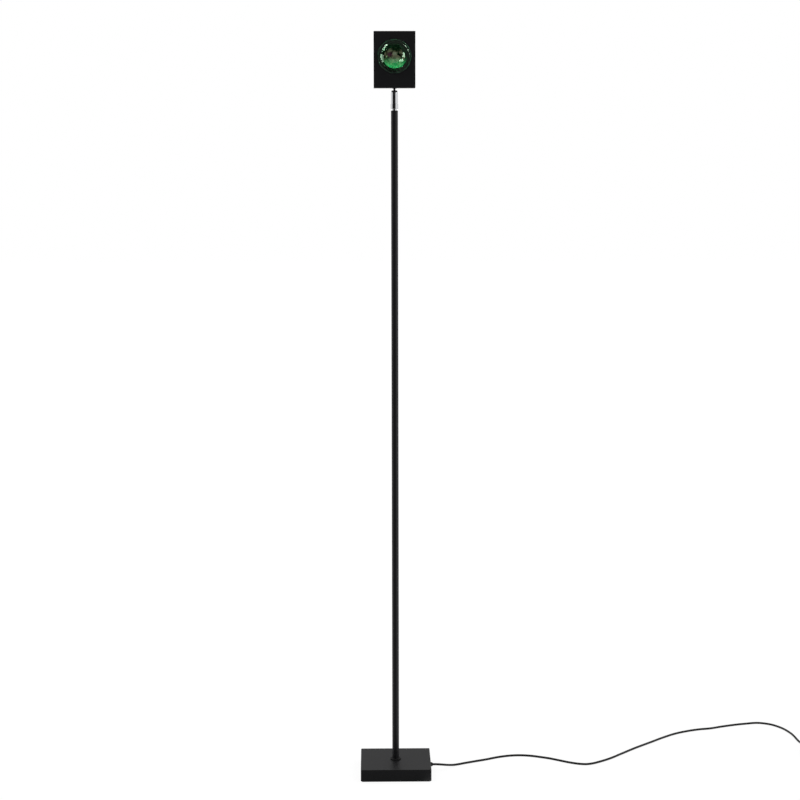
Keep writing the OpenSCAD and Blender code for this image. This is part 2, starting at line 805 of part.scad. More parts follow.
module heat_sink() {
    x = head_w / 2 - shell_t - boss_w / 2;
    z = head_h / 2 - shell_t - boss_w / 2;
    color("#131314") difference() {
        union() {
            along_head(plate_y, plate_y + plate_t) shell_outline(head_w, head_h);
            for (k = [-fin_side : fin_side])
                translate([k * fin_pitch - fin_t / 2, plate_y + plate_t - 0.5, head_z])
                    cube([fin_t, fin_h + 0.5, head_h]);
        }
        translate([0, 0, head_z + head_h / 2]) four_corners(x, z)
            along_y(0, plate_y - cut, 0) cylinder(d = 3.4, h = plate_t + 2 * cut);
    }
}

module heat_sink_screws() {
    head_t = 2.2;
    x = head_w / 2 - shell_t - boss_w / 2;
    z = head_h / 2 - shell_t - boss_w / 2;
    color("#2a2a2b") translate([0, 0, head_z + head_h / 2]) four_corners(x, z)
        along_y(0, plate_y + plate_t + head_t, 0) pan_screw(5.2, head_t, 2.96, plate_t + 10);
}

// Cord: free stretches and the coil
module cord_lead() {
    color("#0c0c0c") swept_tube(LEAD_LINE, cord_d, 8);
}

module cord_tail() {
    color("#0c0c0c") swept_tube(TAIL_LINE, cord_d, 8);
}

module cord_coil() {
    color("#0c0c0c") swept_tube(COIL_LINE, cord_d, 6);
}

module cord_end() {
    color("#0c0c0c") swept_tube(END_LINE, cord_d, 8);
}

// Strap round the bundle, at the side away from the lamp
module cord_tie() {
    inner_w = 11.6;
    inner_top = coil_high + cord_d / 2 + 0.3;
    strap_w = 10;
    x = coil_x + coil_in + turn_step;
    color("#3c3c3e") translate([x, strap_w / 2, 0]) rotate([90, 0, 0]) linear_extrude(strap_w)
        difference() {
            translate([-inner_w / 2 - tie_t, 0]) square([inner_w + 2 * tie_t, inner_top + tie_t]);
            translate([-inner_w / 2, tie_t]) square([inner_w, inner_top - tie_t]);
        }
}

// Inline switch: two shells, contacts and a rocker on its own pin
module switch_block(z0, z1, inset) {
    r = 3;
    translate([lead_x_far, switch_y, 0])
        round_plate(switch_w - 2 * inset, switch_l - 2 * inset, r, z0, z1);
}

module switch_cord_hole() {
    along_y(lead_x_far, switch_y - switch_l, switch_cord_z)
        cylinder(d = cord_d + 0.2, h = 2 * switch_l);
}

module switch_bosses(z0, z1) {
    for (y = [-1, 1]) translate([lead_x_far + 7, switch_y + y * 22, z0])
        cylinder(d = 5, h = z1 - z0);
}

module switch_bottom() {
    color("#141414") difference() {
        union() {
            difference() {
                hull() {
                    switch_block(0, switch_split, 1.2);
                    switch_block(2.5, switch_split, 0);
                }
                switch_block(switch_wall, switch_split + cut, switch_wall);
            }
            switch_bosses(switch_wall - 0.5, switch_split);
        }
        switch_cord_hole();
        for (y = [-1, 1]) translate([lead_x_far + 7, switch_y + y * 22, -cut])
            cylinder(d = 2.6, h = switch_split + 2 * cut);
    }
}

module rocker_ears() {
    for (s = [-1, 1])
        translate([lead_x_far + s * (ear_in + ear_out) / 2, switch_y, rocker_z + 1])
            cube([ear_out - ear_in, 6, 6], center = true);
}

module switch_top() {
    color("#141414") difference() {
        union() {
            difference() {
                hull() {
                    switch_block(switch_split, switch_h, 1.6);
                    switch_block(switch_split, switch_h - 2.5, 0);
                }
                switch_block(switch_split - cut, switch_h - switch_wall, switch_wall);
            }
            rocker_ears();
            switch_bosses(switch_split, switch_h - switch_wall + 0.5);
        }
        for (y = [-1, 1]) translate([lead_x_far + 7, switch_y + y * 22, switch_split - cut])
            cylinder(d = 2.54, h = 5.6 + cut);
        translate([lead_x_far, switch_y, switch_h])
            cube([rocker_hole_w, rocker_hole_l, 12], center = true);
        along_x(lead_x_far - 10, switch_y, rocker_z)
            cylinder(d = rocker_pin_d + 2 * run_gap, h = 20);
        switch_cord_hole();
    }
}

module switch_screws() {
    color("#9a9a96") for (y = [-1, 1]) translate([lead_x_far + 7, switch_y + y * 22, 0.2])
        cylinder(d = 2.5, h = switch_split + 5);
}

module switch_contacts() {
    color("#c8a24a") for (y = [-1, 1])
        translate([lead_x_far - 5, switch_y + y * 8 - 3, switch_wall]) cube([10, 6, 2]);
}

module switch_rocker() {
    l = rocker_l / 2;
    color("#202020") translate([lead_x_far, switch_y, rocker_z]) rotate([-rocker_tilt, 0, 0]) {
        translate([-rocker_w / 2, 0, 0]) rotate([90, 0, 90]) linear_extrude(rocker_w)
            polygon([[-l, -rocker_drop], [l, -rocker_drop], [l, rocker_rise],
                [0, rocker_rise - rocker_dip], [-l, rocker_rise]]);
        along_x(-rocker_pin_l / 2, 0, 0) cylinder(d = rocker_pin_d, h = rocker_pin_l);
    }
}

// Flat two-pin plug, lying beside the coil with its pins away from the lamp
module plug_outline(inset) {
    w = plug_w / 2 - inset;
    n = plug_neck_w / 2 - inset;
    face = plug_back_y - plug_l;
    polygon([[-n, plug_back_y - inset], [n, plug_back_y - inset], [w, plug_back_y - 20],
        [w, face + 3], [w - 2, face + inset], [-w + 2, face + inset], [-w, face + 3],
        [-w, plug_back_y - 20]]);
}

module plug_body() {
    color("#121212") translate([lead_x_far, 0, 0]) difference() {
        hull() {
            linear_extrude(plug_t) plug_outline(2);
            translate([0, 0, 3]) linear_extrude(plug_t - 6) plug_outline(0);
        }
        for (s = [-1, 1])
            along_y(s * pin_pitch / 2, plug_back_y - plug_l - cut, plug_cord_z)
                cylinder(d = pin_root_d + 0.02, h = pin_inside + cut);
    }
}

module plug_pins() {
    tip = plug_back_y - plug_l - pin_l;
    color("#d6d6d2") for (s = [-1, 1]) translate([lead_x_far + s * pin_pitch / 2, 0, plug_cord_z]) {
        along_y(0, tip, 0) cylinder(d1 = pin_d - 1.4, d2 = pin_d, h = pin_tip_h);
        along_y(0, tip + pin_tip_h, 0) cylinder(d = pin_d, h = pin_l - pin_tip_h - pin_root_out);
        along_y(0, tip + pin_l - pin_root_out, 0)
            cylinder(d = pin_root_d, h = pin_inside + pin_root_out);
    }
}

module plug_relief() {
    color("#101010") along_y(lead_x_far, plug_back_y, plug_cord_z) {
        cylinder(d1 = 9.5, d2 = 6.4, h = relief_l);
    }
}

base_pad();
base_block();
base_collar();
base_nipple();
base_washer();
base_nut();
terminal_block();
terminal_screws();
inner_cord();
cord_clamp();
clamp_screws();
cord_gland();
gland_nut();
pole_tube();
pole_foot_insert();
pole_top_insert();
pole_cable();
swivel_nipple();
pan_clip();
swivel_plug();
swivel_body();
swivel_adjuster();
swivel_springs();
swivel_seat();
ball_stem();
stem_leads();
stem_washer();
stem_nut();
head_housing();
lens_gasket();
lens();
lens_barrel();
barrel_screws();
dichroic_filter();
filter_ring();
condenser_lens();
condenser_holder();
led_board();
led_emitter();
thermal_pad();
led_leads();
driver_board();
driver_parts();
driver_screws();
heat_sink();
heat_sink_screws();
cord_lead();
switch_bottom();
switch_top();
switch_screws();
switch_contacts();
switch_rocker();
cord_tail();
cord_coil();
cord_tie();
cord_end();
plug_relief();
plug_body();
plug_pins();
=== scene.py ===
"""Sunset projection lamp on a floor stand: surfaces, cords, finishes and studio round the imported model.

Metres, +Z up, the lens looks along -Y and the origin is the middle of the weight's underside.
"""
import json
from math import atan2, cos, pi, radians, sin, tan

import bmesh
import bpy
import numpy as np
from bpy.props import FloatProperty, FloatVectorProperty, IntProperty, PointerProperty
from mathutils import Matrix, Vector


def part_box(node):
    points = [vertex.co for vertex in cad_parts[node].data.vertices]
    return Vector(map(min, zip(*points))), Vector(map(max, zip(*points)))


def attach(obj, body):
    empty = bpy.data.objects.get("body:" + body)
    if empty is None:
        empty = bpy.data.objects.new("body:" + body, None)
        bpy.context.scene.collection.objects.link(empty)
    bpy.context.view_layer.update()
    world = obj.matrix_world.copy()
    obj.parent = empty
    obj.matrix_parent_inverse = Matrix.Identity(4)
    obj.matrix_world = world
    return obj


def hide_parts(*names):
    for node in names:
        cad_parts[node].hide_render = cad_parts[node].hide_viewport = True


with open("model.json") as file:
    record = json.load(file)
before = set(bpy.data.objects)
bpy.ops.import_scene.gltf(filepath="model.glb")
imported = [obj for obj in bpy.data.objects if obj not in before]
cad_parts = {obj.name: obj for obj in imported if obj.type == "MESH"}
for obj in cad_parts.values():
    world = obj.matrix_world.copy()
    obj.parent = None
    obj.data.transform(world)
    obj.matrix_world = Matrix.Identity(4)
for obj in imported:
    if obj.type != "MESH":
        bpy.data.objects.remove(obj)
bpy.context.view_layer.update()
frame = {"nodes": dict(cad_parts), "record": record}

bl_info = {
    "name": "Sunset Projection Lamp",
    "version": (1, 0, 0),
    "blender": (4, 5, 0),
    "location": "View3D > Sidebar > Sunset Lamp",
    "description": "Dresses the lamp's frame with its surfaces, cords, finishes and studio",
    "category": "Object",
}

MM = 0.001


def ends(node):
    """Lowest and highest corner of a frame node's box, as two arrays."""
    lowest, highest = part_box(node)
    return np.array(lowest), np.array(highest)


def low(node):
    """Lowest corner of a frame node, as an array."""
    return ends(node)[0]


def high(node):
    """Highest corner of a frame node, as an array."""
    return ends(node)[1]


def middle(node):
    """Middle of a frame node's box, as an array."""
    return (low(node) + high(node)) / 2


def linear(code):
    """Linear colour with alpha 1 of an sRGB hex code."""
    parts = [int(code[i:i + 2], 16) / 255 for i in (1, 3, 5)]
    return tuple(p / 12.92 if p <= 0.04045 else ((p + 0.055) / 1.055) ** 2.4 for p in parts) + (1.0,)


# ---------------------------------------------------------------- settings

def length_setting(name, description, default, largest):
    """A length in metres that a user may change."""
    return FloatProperty(name=name, description=description, default=default, min=0.0, max=largest,
                         subtype="DISTANCE", unit="LENGTH", precision=5)


def angle_setting(name, description, degrees):
    """An angle that a user may change."""
    return FloatProperty(name=name, description=description, default=radians(degrees), subtype="ANGLE",
                         unit="ROTATION")


def colour_setting(name, description, code):
    """A colour that a user may change."""
    return FloatVectorProperty(name=name, description=description, default=linear(code), size=4,
                               min=0.0, max=1.0, subtype="COLOR")


class SunsetLampSizes(bpy.types.PropertyGroup):
    """Sizes that the frame leaves to the surfaces."""
    edge: length_setting("Edge Radius", "Rounding of the weight's and the head's edges", 0.8 * MM, 0.003)
    fine_edge: length_setting("Fine Edge Radius", "Rounding of turned edges", 0.3 * MM, 0.002)
    corner: length_setting("Weight Corner Radius", "Radius of the weight's upright corners", 2.5 * MM, 0.01)
    shell_wall: length_setting("Shell Wall", "Wall of the head's shell", 2.5 * MM, 0.01)
    cord_diameter: length_setting("Cord Diameter", "Diameter of the round mains cord", 4.8 * MM, 0.01)
    around: IntProperty(name="Steps Around", description="Steps round a turned piece", default=96, min=24,
                        max=256)


class SunsetLampColours(bpy.types.PropertyGroup):
    """Colours of the finishes a user would change."""
    coat: colour_setting("Powder Coat", "Black powder coat of the weight, the pole and the head", "#131315")
    anodised: colour_setting("Anodising", "Black anodised aluminium of the heat sink", "#2b2b2d")
    chrome: colour_setting("Chrome", "Polished chrome of the swivel", "#cfd0d2")
    rubber: colour_setting("Rubber", "Moulded rubber of the ring and the gland", "#0e0e0e")
    cord: colour_setting("Cord", "Sheath of the mains cord", "#0b0b0b")
    plastic: colour_setting("Plastic", "Moulded shells of the switch and the plug", "#131314")
    glass: colour_setting("Lens Tint", "Tint of the lens's body", "#e2fdee")
    bloom: colour_setting("Lens Bloom", "Colour that the lens's coating reflects", "#c8f0cc")
    filter_green: colour_setting("Filter Green", "Colour that the filter reflects", "#2fd07c")


class SunsetLampStudio(bpy.types.PropertyGroup):
    """Camera and light."""
    camera_place: FloatVectorProperty(name="Camera Place", description="Where the camera stands",
                                      default=(-0.0473, -4.0001, 1.3162), subtype="TRANSLATION",
                                      unit="LENGTH")
    camera_yaw: angle_setting("Camera Yaw", "Turn of the camera to the left", -0.828)
    camera_pitch: angle_setting("Camera Pitch", "Tilt of the camera below level", 7.253)
    camera_roll: angle_setting("Camera Roll", "Roll of the camera", -0.095)
    camera_lens: FloatProperty(name="Camera Lens", description="Focal length on a 36 mm sensor",
                               default=86.157, min=10, max=300, subtype="DISTANCE_CAMERA")
    ambient: FloatProperty(name="Ambient Light", description="Strength of the room's light", default=0.85,
                           min=0, max=2)
    softbox: FloatProperty(name="Softbox Light", description="Brightness of the softboxes", default=1.0,
                           min=0, max=5)


def sizes():
    return bpy.context.scene.sunset_lamp_sizes


def colours():
    return bpy.context.scene.sunset_lamp_colours


def studio():
    return bpy.context.scene.sunset_lamp_studio


# ---------------------------------------------------------------- shapes

def grid(points, wrap_rows=False, wrap_columns=True):
    """Surface over a grid of rows x columns x 3 points, as (points, quads). A wrapped side joins its last
    line to its first."""
    rows, columns = points.shape[:2]
    i, j = np.meshgrid(np.arange(rows if wrap_rows else rows - 1),
                       np.arange(columns if wrap_columns else columns - 1), indexing="ij")
    i, j = i.ravel(), j.ravel()
    i2, j2 = (i + 1) % rows, (j + 1) % columns
    quads = np.stack([i * columns + j, i * columns + j2, i2 * columns + j2, i2 * columns + j], axis=1)
    return points.reshape(-1, 3), quads


def sweep(start, end, steps):
    """Angles that lead from one (x, y) direction the short way round to another."""
    first = atan2(start[1], start[0])
    turn = (atan2(end[1], end[0]) - first + pi) % (2 * pi) - pi
    return first + turn * np.linspace(0, 1, steps)


def on_circle(centre, radius, angles):
    """Points (x, y) at radius (cos, sin) of the angles about a centre."""
    return np.asarray(centre) + radius * np.stack([np.cos(angles), np.sin(angles)], axis=1)


def rounded(corners, steps=6, closed=True):
    """Outline through corners (x, y, radius). A corner with a radius becomes an arc that touches its two
    sides: the arc starts radius / tan(half the angle between the sides) before the corner."""
    points = []
    count = len(corners)
    for i, (x, y, radius) in enumerate(corners):
        here = np.array([x, y])
        if radius <= 0 or (not closed and i in (0, count - 1)):
            points.append(here[None])
            continue
        before = np.array(corners[i - 1][:2]) - here
        after = np.array(corners[(i + 1) % count][:2]) - here
        before, after = before / np.linalg.norm(before), after / np.linalg.norm(after)
        half = np.arccos(np.clip(before @ after, -1, 1)) / 2
        inward = (before + after) / np.linalg.norm(before + after)
        centre = here + inward * radius / sin(half)
        start = here + before * radius / tan(half) - centre
        end = here + after * radius / tan(half) - centre
        points.append(on_circle(centre, radius, sweep(start, end, steps)))
    return np.concatenate(points)


def turned(profile, centre=(0, 0, 0), axis="z", closed=True, steps=None):
    """Profile turned about an axis: its point (r, h) goes to r cos a and r sin a across the axis and h along
    it. A closed profile is a ring; an open one starts and ends on the axis."""
    radius, along = np.asarray(profile).T
    a = np.linspace(0, 2 * pi, steps or sizes().around, endpoint=False)
    first, second = np.outer(radius, np.cos(a)), np.outer(radius, np.sin(a))
    third = np.repeat(along[:, None], a.size, axis=1)
    order = {"x": (third, first, second), "y": (first, third, second), "z": (first, second, third)}[axis]
    return grid(np.stack(order, axis=-1) + np.asarray(centre), wrap_rows=closed)


def rounding(inward, up, steps=5):
    """Rows (inward (1 - cos a), up sin a) along a quarter turn, for an edge that curves in as it rises."""
    a = np.linspace(0, pi / 2, steps)
    return np.column_stack([inward * (1 - np.cos(a)), up * np.sin(a)])


def stacked_loops(rows, centre=(0, 0), per_corner=6):
    """Round-cornered rectangles above each other, one for each row (half size in X, half size in Y, corner
    radius, height), about a centre (x, y) that a row may end with. A corner's points stand on an arc about
    (half size - radius), and a row of half size 0 is one point that closes an end."""
    columns = np.array([(*row, *centre)[:6] for row in rows]).T[..., None]
    half_x, half_y, radius, height, centre_x, centre_y = columns
    corner = np.repeat(np.arange(4), per_corner)
    a = (corner + np.tile(np.linspace(0, 1, per_corner), 4)) * pi / 2
    side_x, side_y = np.array([1, -1, -1, 1])[corner], np.array([1, 1, -1, -1])[corner]
    x = centre_x + side_x * (half_x - radius) + radius * np.cos(a)
    y = centre_y + side_y * (half_y - radius) + radius * np.sin(a)
    return np.stack([x, y, height + 0 * x], axis=-1)


def spread(start, end, steps):
    """Points on the line from start to end that stand at equal angles as seen from the origin."""
    a = sweep(start, end, steps)
    dx, dy = end[0] - start[0], end[1] - start[1]
    part = (start[0] * np.sin(a) - start[1] * np.cos(a)) / (dy * np.cos(a) - dx * np.sin(a))
    return np.stack([start[0] + part * dx, start[1] + part * dy], axis=1)


def face_loop(half_x, down, up, radius, per_side=30, per_corner=6):
    """Round-cornered rectangle about a point inside it, from -half_x to half_x and from -down to up. Its
    sides' points stand at equal angles about that point, so that rays lead them to a round hole."""
    cx, cu, cd = half_x - radius, up - radius, down - radius
    sides = [((half_x, -cd), (half_x, cu), (cx, cu)), ((cx, up), (-cx, up), (-cx, cu)),
             ((-half_x, cu), (-half_x, -cd), (-cx, -cd)), ((-cx, -down), (cx, -down), (cx, -cd))]
    arc = np.linspace(0, pi / 2, per_corner)
    points = []
    for k, (start, end, corner) in enumerate(sides):
        points += [spread(start, end, per_side), on_circle(corner, radius, arc + k * pi / 2)]
    return np.concatenate(points)


def rays(loop):
    """Unit directions from the origin to a loop's points."""
    return loop / np.linalg.norm(loop, axis=1)[:, None]


def on_front(loop, depth):
    """A loop of (x, z) set about the lens axis at one depth along Y."""
    x, z = loop.T
    axis = middle("lens")
    return np.stack([x + axis[0], depth + 0 * x, z + axis[2]], axis=-1)


def route(points, floor, per_span=7):
    """Smooth line through points: cubic spans whose slope at a point is the mean of its two sides' slopes,
    each weighted by the other side's length, and never lower than the floor holds it."""
    p = np.asarray(points, dtype=float)
    span = np.linalg.norm(np.diff(p, axis=0), axis=1)[:, None]
    side = np.diff(p, axis=0) / span
    slope = np.vstack([side[:1], (side[:-1] * span[1:] + side[1:] * span[:-1]) / (span[1:] + span[:-1]),
                       side[-1:]])
    t = np.linspace(0, 1, per_span, endpoint=False)[None, :, None]
    a, b, s = p[:-1, None], p[1:, None], span[:, None]
    line = ((2 * t ** 3 - 3 * t ** 2 + 1) * a + (t ** 3 - 2 * t ** 2 + t) * s * slope[:-1, None]
            + (3 * t ** 2 - 2 * t ** 3) * b + (t ** 3 - t ** 2) * s * slope[1:, None])
    line = np.vstack([line.reshape(-1, 3), p[-1:]])
    line[:, 2] = np.maximum(line[:, 2], floor)
    return line


def tube(line, radius, steps=16):
    """Round tube along a line that never stands upright: each ring is radius cos a across the line, level,
    and radius sin a on the way up, with both ends closed. Returns (points, quads) and uv, where u runs once
    round the tube and v along it in metres."""
    ahead = np.gradient(line, axis=0)
    ahead /= np.linalg.norm(ahead, axis=1)[:, None]
    across = np.cross(ahead, [0.0, 0.0, 1.0])
    across /= np.linalg.norm(across, axis=1)[:, None]
    up = np.cross(across, ahead)
    a = np.linspace(0, 2 * pi, steps, endpoint=False)[None, :, None]
    rings = line[:, None] + radius * (np.cos(a) * across[:, None] + np.sin(a) * up[:, None])
    rings = np.concatenate([np.repeat(line[:1, None], steps, axis=1), rings,
                            np.repeat(line[-1:, None], steps, axis=1)])
    run = np.concatenate([[0], np.cumsum(np.linalg.norm(np.diff(line, axis=0), axis=1))])
    run = np.concatenate([run[:1], run, run[-1:]])
    points, quads = grid(rings)
    i, j = np.divmod(np.arange(len(quads)), steps)
    u = np.stack([j, j + 1, j + 1, j], axis=1) / steps
    v = run[np.stack([i, i, i + 1, i + 1], axis=1)]
    return (points, quads), np.stack([u, v], axis=-1)


def extruded(outline, bottom, top):
    """Upright prism over an outline of (x, y) points, with its two flat ends."""
    count = len(outline)
    rows = np.stack([np.column_stack([outline, np.full(count, z)]) for z in (bottom, top)])
    return [grid(rows), (rows[0], np.arange(count)[None, ::-1]), (rows[1], np.arange(count)[None])]


def make_piece(name, body, slot, replaced, *surfaces, finish=None, uv=None, crease=40.0):
    """One object from surfaces of (points, faces), in its slot's finish unless it names another, for the
    frame nodes that are listed with spaces. Doubles are merged, faces turned outwards and smooth up to the
    crease angle, and the shading of large faces is kept flat."""
    points, faces = [], []
    for part, polygons in surfaces:
        faces += (np.asarray(polygons) + len(points)).tolist()
        points += part.tolist()
    mesh = bpy.data.meshes.new(name)
    mesh.from_pydata(points, [], faces)
    if uv is not None:
        mesh.uv_layers.new(name="along").data.foreach_set("uv", uv.ravel())
    shape = bmesh.new()
    shape.from_mesh(mesh)
    bmesh.ops.remove_doubles(shape, verts=shape.verts, dist=0.002 * MM)
    bmesh.ops.recalc_face_normals(shape, faces=shape.faces)
    shape.to_mesh(mesh)
    shape.free()
    mesh.shade_smooth()
    mesh.set_sharp_from_angle(angle=radians(crease))
    mesh.materials.append(finishes()[finish or slot])
    piece = bpy.data.objects.new(name, mesh)
    bpy.context.collection.objects.link(piece)
    if uv is None:
        piece.modifiers.new("flat faces", "WEIGHTED_NORMAL").keep_sharp = True
    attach(piece, body)
    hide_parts(*replaced.split())
    return piece


def paint(piece, finish, chosen):
    """Gives a second finish to the faces whose centres, as an array of points, the test picks."""
    mesh = piece.data
    centres = np.empty(3 * len(mesh.polygons))
    mesh.polygons.foreach_get("center", centres)
    mesh.materials.append(finishes()[finish])
    mesh.polygons.foreach_set("material_index", chosen(centres.reshape(-1, 3)).astype(np.int32))


def screw(centre, head_r, head_t, shank_r, shank_l):
    """Pan-head screw along Y, seen from +Y. Its head is a polar grid whose height falls from the middle with
    the square of the radius, and a cross stands 0.5 of the head deep inside the radius
    head_r (0.14 + 0.44 |cos 2a|^4)."""
    a = np.linspace(0, 2 * pi, 48, endpoint=False)
    cross = head_r * (0.14 + 0.44 * np.abs(np.cos(2 * a)) ** 4)
    inside = np.linspace(0, 1, 4)[:, None] * cross
    outside = cross + (head_r - cross) * np.linspace(0, 1, 7)[:, None]
    dome = head_t * (1 - 0.35 * (outside / head_r) ** 2)
    level = np.zeros(a.size)
    radius = np.vstack([inside, outside, level + head_r, level + shank_r, level + shank_r, level])
    height = np.vstack([inside * 0 + 0.5 * head_t, dome, level, level, level - shank_l, level - shank_l])
    return grid(np.stack([radius * np.cos(a), height, radius * np.sin(a)], axis=-1) + np.asarray(centre))


# ---------------------------------------------------------------- finishes
# Grain, tool marks and pores of 0.02 to 0.2 mm are too fine to show, so their patterns are drawn two to ten
# times as coarse as they are, 0.3 to 0.8 mm wide.

def per_mm(size):
    """Scale of a pattern on Object coordinates whose features are size millimetres wide."""
    return 1 / (size * MM)


def feed(tree, socket, value):
    """Sets a socket to a value, or links it to an output or to a node's first output in use."""
    if isinstance(value, bpy.types.Node):
        value = next(output for output in value.outputs if output.enabled)
    if isinstance(value, bpy.types.NodeSocket):
        tree.links.new(value, socket)
    else:
        socket.default_value = value


def add(tree, kind, inputs=(), **settings):
    """Adds a shader node with its settings and its inputs, listed in order or by name or number."""
    made = tree.nodes.new("ShaderNode" + kind)
    for name, value in settings.items():
        setattr(made, name, value)
    for key, value in (inputs.items() if isinstance(inputs, dict) else enumerate(inputs)):
        feed(tree, made.inputs[key], value)
    return made


def new_finish(name, **values):
    """A material with a Principled shader, whose sockets take values, and the Object coordinates."""
    material = bpy.data.materials.new(name)
    material.use_nodes = True
    tree = material.node_tree
    tree.nodes.clear()
    shader = add(tree, "BsdfPrincipled", {key.replace("_", " "): value for key, value in values.items()})
    add(tree, "OutputMaterial", [shader])
    return material, tree, shader, add(tree, "TexCoord").outputs["Object"]


def worked(tree, shader, colour=None, rough=None, relief=None):
    """Lets patterns that run from 0 to 1 drive a shader: its colour, as (pattern, colour, share of it where
    the pattern is 0), its roughness, as (pattern, lowest, highest), and its relief, as (pattern, height in
    millimetres)."""
    if colour:
        pattern, full, share = colour
        mix = add(tree, "Mix", {0: pattern, 6: [c * share for c in full[:3]] + [1], 7: full},
                  data_type="RGBA")
        feed(tree, shader.inputs["Base Color"], mix)
    if rough:
        pattern, lowest, highest = rough
        feed(tree, shader.inputs["Roughness"],
             add(tree, "MapRange", {"Value": pattern, "To Min": lowest, "To Max": highest}))
    if relief:
        pattern, height = relief
        feed(tree, shader.inputs["Normal"], add(tree, "Bump", {"Height": pattern, "Distance": height * MM}))


def grained(name, pattern, colour, rough, relief=None, kind="TexNoise", stretch=None, **values):
    """A finish whose colour (full, share), roughness (lowest, highest) and relief all follow one pattern,
    which may be stretched."""
    material, tree, shader, place = new_finish(name, **values)
    if stretch:
        place = add(tree, "Mapping", {"Vector": place, "Scale": stretch})
    grain = add(tree, kind, {"Vector": place, **pattern})
    worked(tree, shader, (grain, *colour), (grain, *rough), relief and (grain, relief))
    return material


def powder_coat():
    """Polyester powder, sprayed and baked on steel and aluminium: a fine grain, drawn coarser than it is,
    that breaks up the gloss, and a film that is a little thicker in places."""
    material, tree, shader, place = new_finish("baked_powder_coat", IOR=1.5, Specular_IOR_Level=0.3)
    grain = add(tree, "TexNoise", {"Vector": place, "Scale": per_mm(0.8), "Detail": 3.0, "Roughness": 0.6})
    cloud = add(tree, "TexNoise", {"Vector": place, "Scale": per_mm(45), "Detail": 2.0})
    worked(tree, shader, (cloud, colours().coat, 0.8), (grain, 0.34, 0.46), (grain, 0.025))
    return material


def anodised_aluminium():
    """Extruded aluminium, etched and dyed black: metal glints along the die lines, which run up the fins
    and are drawn coarser than they are."""
    return grained("black_anodised_aluminium", {"Scale": per_mm(0.35), "Detail": 2.0},
                   (colours().anodised, 0.8), (0.34, 0.48), 0.01, stretch=(1.0, 1.0, 0.01), Metallic=1.0)


def chrome_plate():
    """Chrome plate on turned and polished brass: a mirror, with the last trace of the lathe's rings. They are
    drawn coarser than they are, 3 mm apart: a wave passes 20 radians in a unit of its scale."""
    material, tree, shader, place = new_finish("polished_chrome_plate", Metallic=1.0)
    rings = add(tree, "TexWave", {"Vector": place, "Scale": per_mm(0.5) / 20, "Distortion": 0.6,
                                  "Detail": 1.0}, bands_direction="Z")
    smear = add(tree, "TexNoise", {"Vector": place, "Scale": per_mm(4), "Detail": 2.0})
    worked(tree, shader, (smear, colours().chrome, 0.95), (smear, 0.04, 0.09),
           (rings.outputs["Fac"], 0.0006))
    return material


def moulded_rubber():
    """Compression-moulded rubber: dull, with a fine spark-eroded skin, drawn coarser than it is."""
    return grained("moulded_rubber", {"Scale": per_mm(0.4), "Detail": 2.0}, (colours().rubber, 0.75),
                   (0.55, 0.72), 0.02, IOR=1.52, Specular_IOR_Level=0.25)


def foam_sheet():
    """Die-cut closed-cell foam: matt, with pin-prick cells, drawn coarser than they are."""
    return grained("closed_cell_foam", {"Scale": per_mm(0.6)}, (linear("#2c2c2c"), 0.6), (0.85, 0.95), 0.08,
                   "TexVoronoi", IOR=1.49)


def cord_sheath():
    """Extruded soft PVC: satin, with some 40 faint lines along the cord, which the die leaves, and a slow
    waviness of its skin."""
    material, tree, shader, place = new_finish("extruded_pvc_sheath", IOR=1.53, Specular_IOR_Level=0.2)
    along = add(tree, "UVMap", uv_map="along")
    drawn = add(tree, "Mapping", {"Vector": along, "Scale": (40.0, 8.0, 1.0)})
    lines = add(tree, "TexNoise", {"Vector": drawn, "Scale": 1.0, "Detail": 2.0})
    wave = add(tree, "TexNoise", {"Vector": place, "Scale": per_mm(6), "Detail": 1.0})
    worked(tree, shader, (wave, colours().cord, 0.75), (wave, 0.36, 0.5), (lines, 0.03))
    return material


def textured_abs():
    """Injection-moulded ABS from a spark-eroded mould: even, matt satin, its grain coarser than it is."""
    return grained("moulded_abs", {"Scale": per_mm(0.3), "Detail": 3.0, "Roughness": 0.7},
                   (colours().plastic, 0.85), (0.42, 0.58), 0.015, IOR=1.54)


def moulded_nylon(name, code, roughness):
    """Injection-moulded nylon or polycarbonate: faintly milky or dead black, with soft flow marks."""
    return grained(name, {"Scale": per_mm(5), "Detail": 2.0}, (linear(code), 0.85),
                   (roughness, roughness + 0.1), IOR=1.53)


def plated_metal(name, code, roughness, grain_mm):
    """Plated, drawn or turned metal: its colour, its gloss and the grain of how it was worked, drawn coarser
    than it is."""
    return grained(name, {"Scale": per_mm(grain_mm), "Detail": 3.0}, (linear(code), 0.85),
                   (roughness, roughness + 0.12), 0.002, Metallic=1.0)


def coated_lens_glass():
    """Pressed and polished crown glass with a blooming coat: clear, and its faint reflections are green."""
    return new_finish("bloomed_crown_glass", Base_Color=colours().glass, Roughness=0.0, IOR=1.52,
                      Transmission_Weight=1.0, Specular_Tint=colours().bloom)[0]


def clear_glass():
    """Moulded clear glass of the condenser: faintly rippled where it touched the mould."""
    material, tree, shader, place = new_finish(
        "moulded_clear_glass", Base_Color=linear("#eef6f8"), IOR=1.49, Transmission_Weight=1.0)
    ripple = add(tree, "TexNoise", {"Vector": place, "Scale": per_mm(3), "Detail": 1.0})
    worked(tree, shader, rough=(ripple, 0.02, 0.08))
    return material


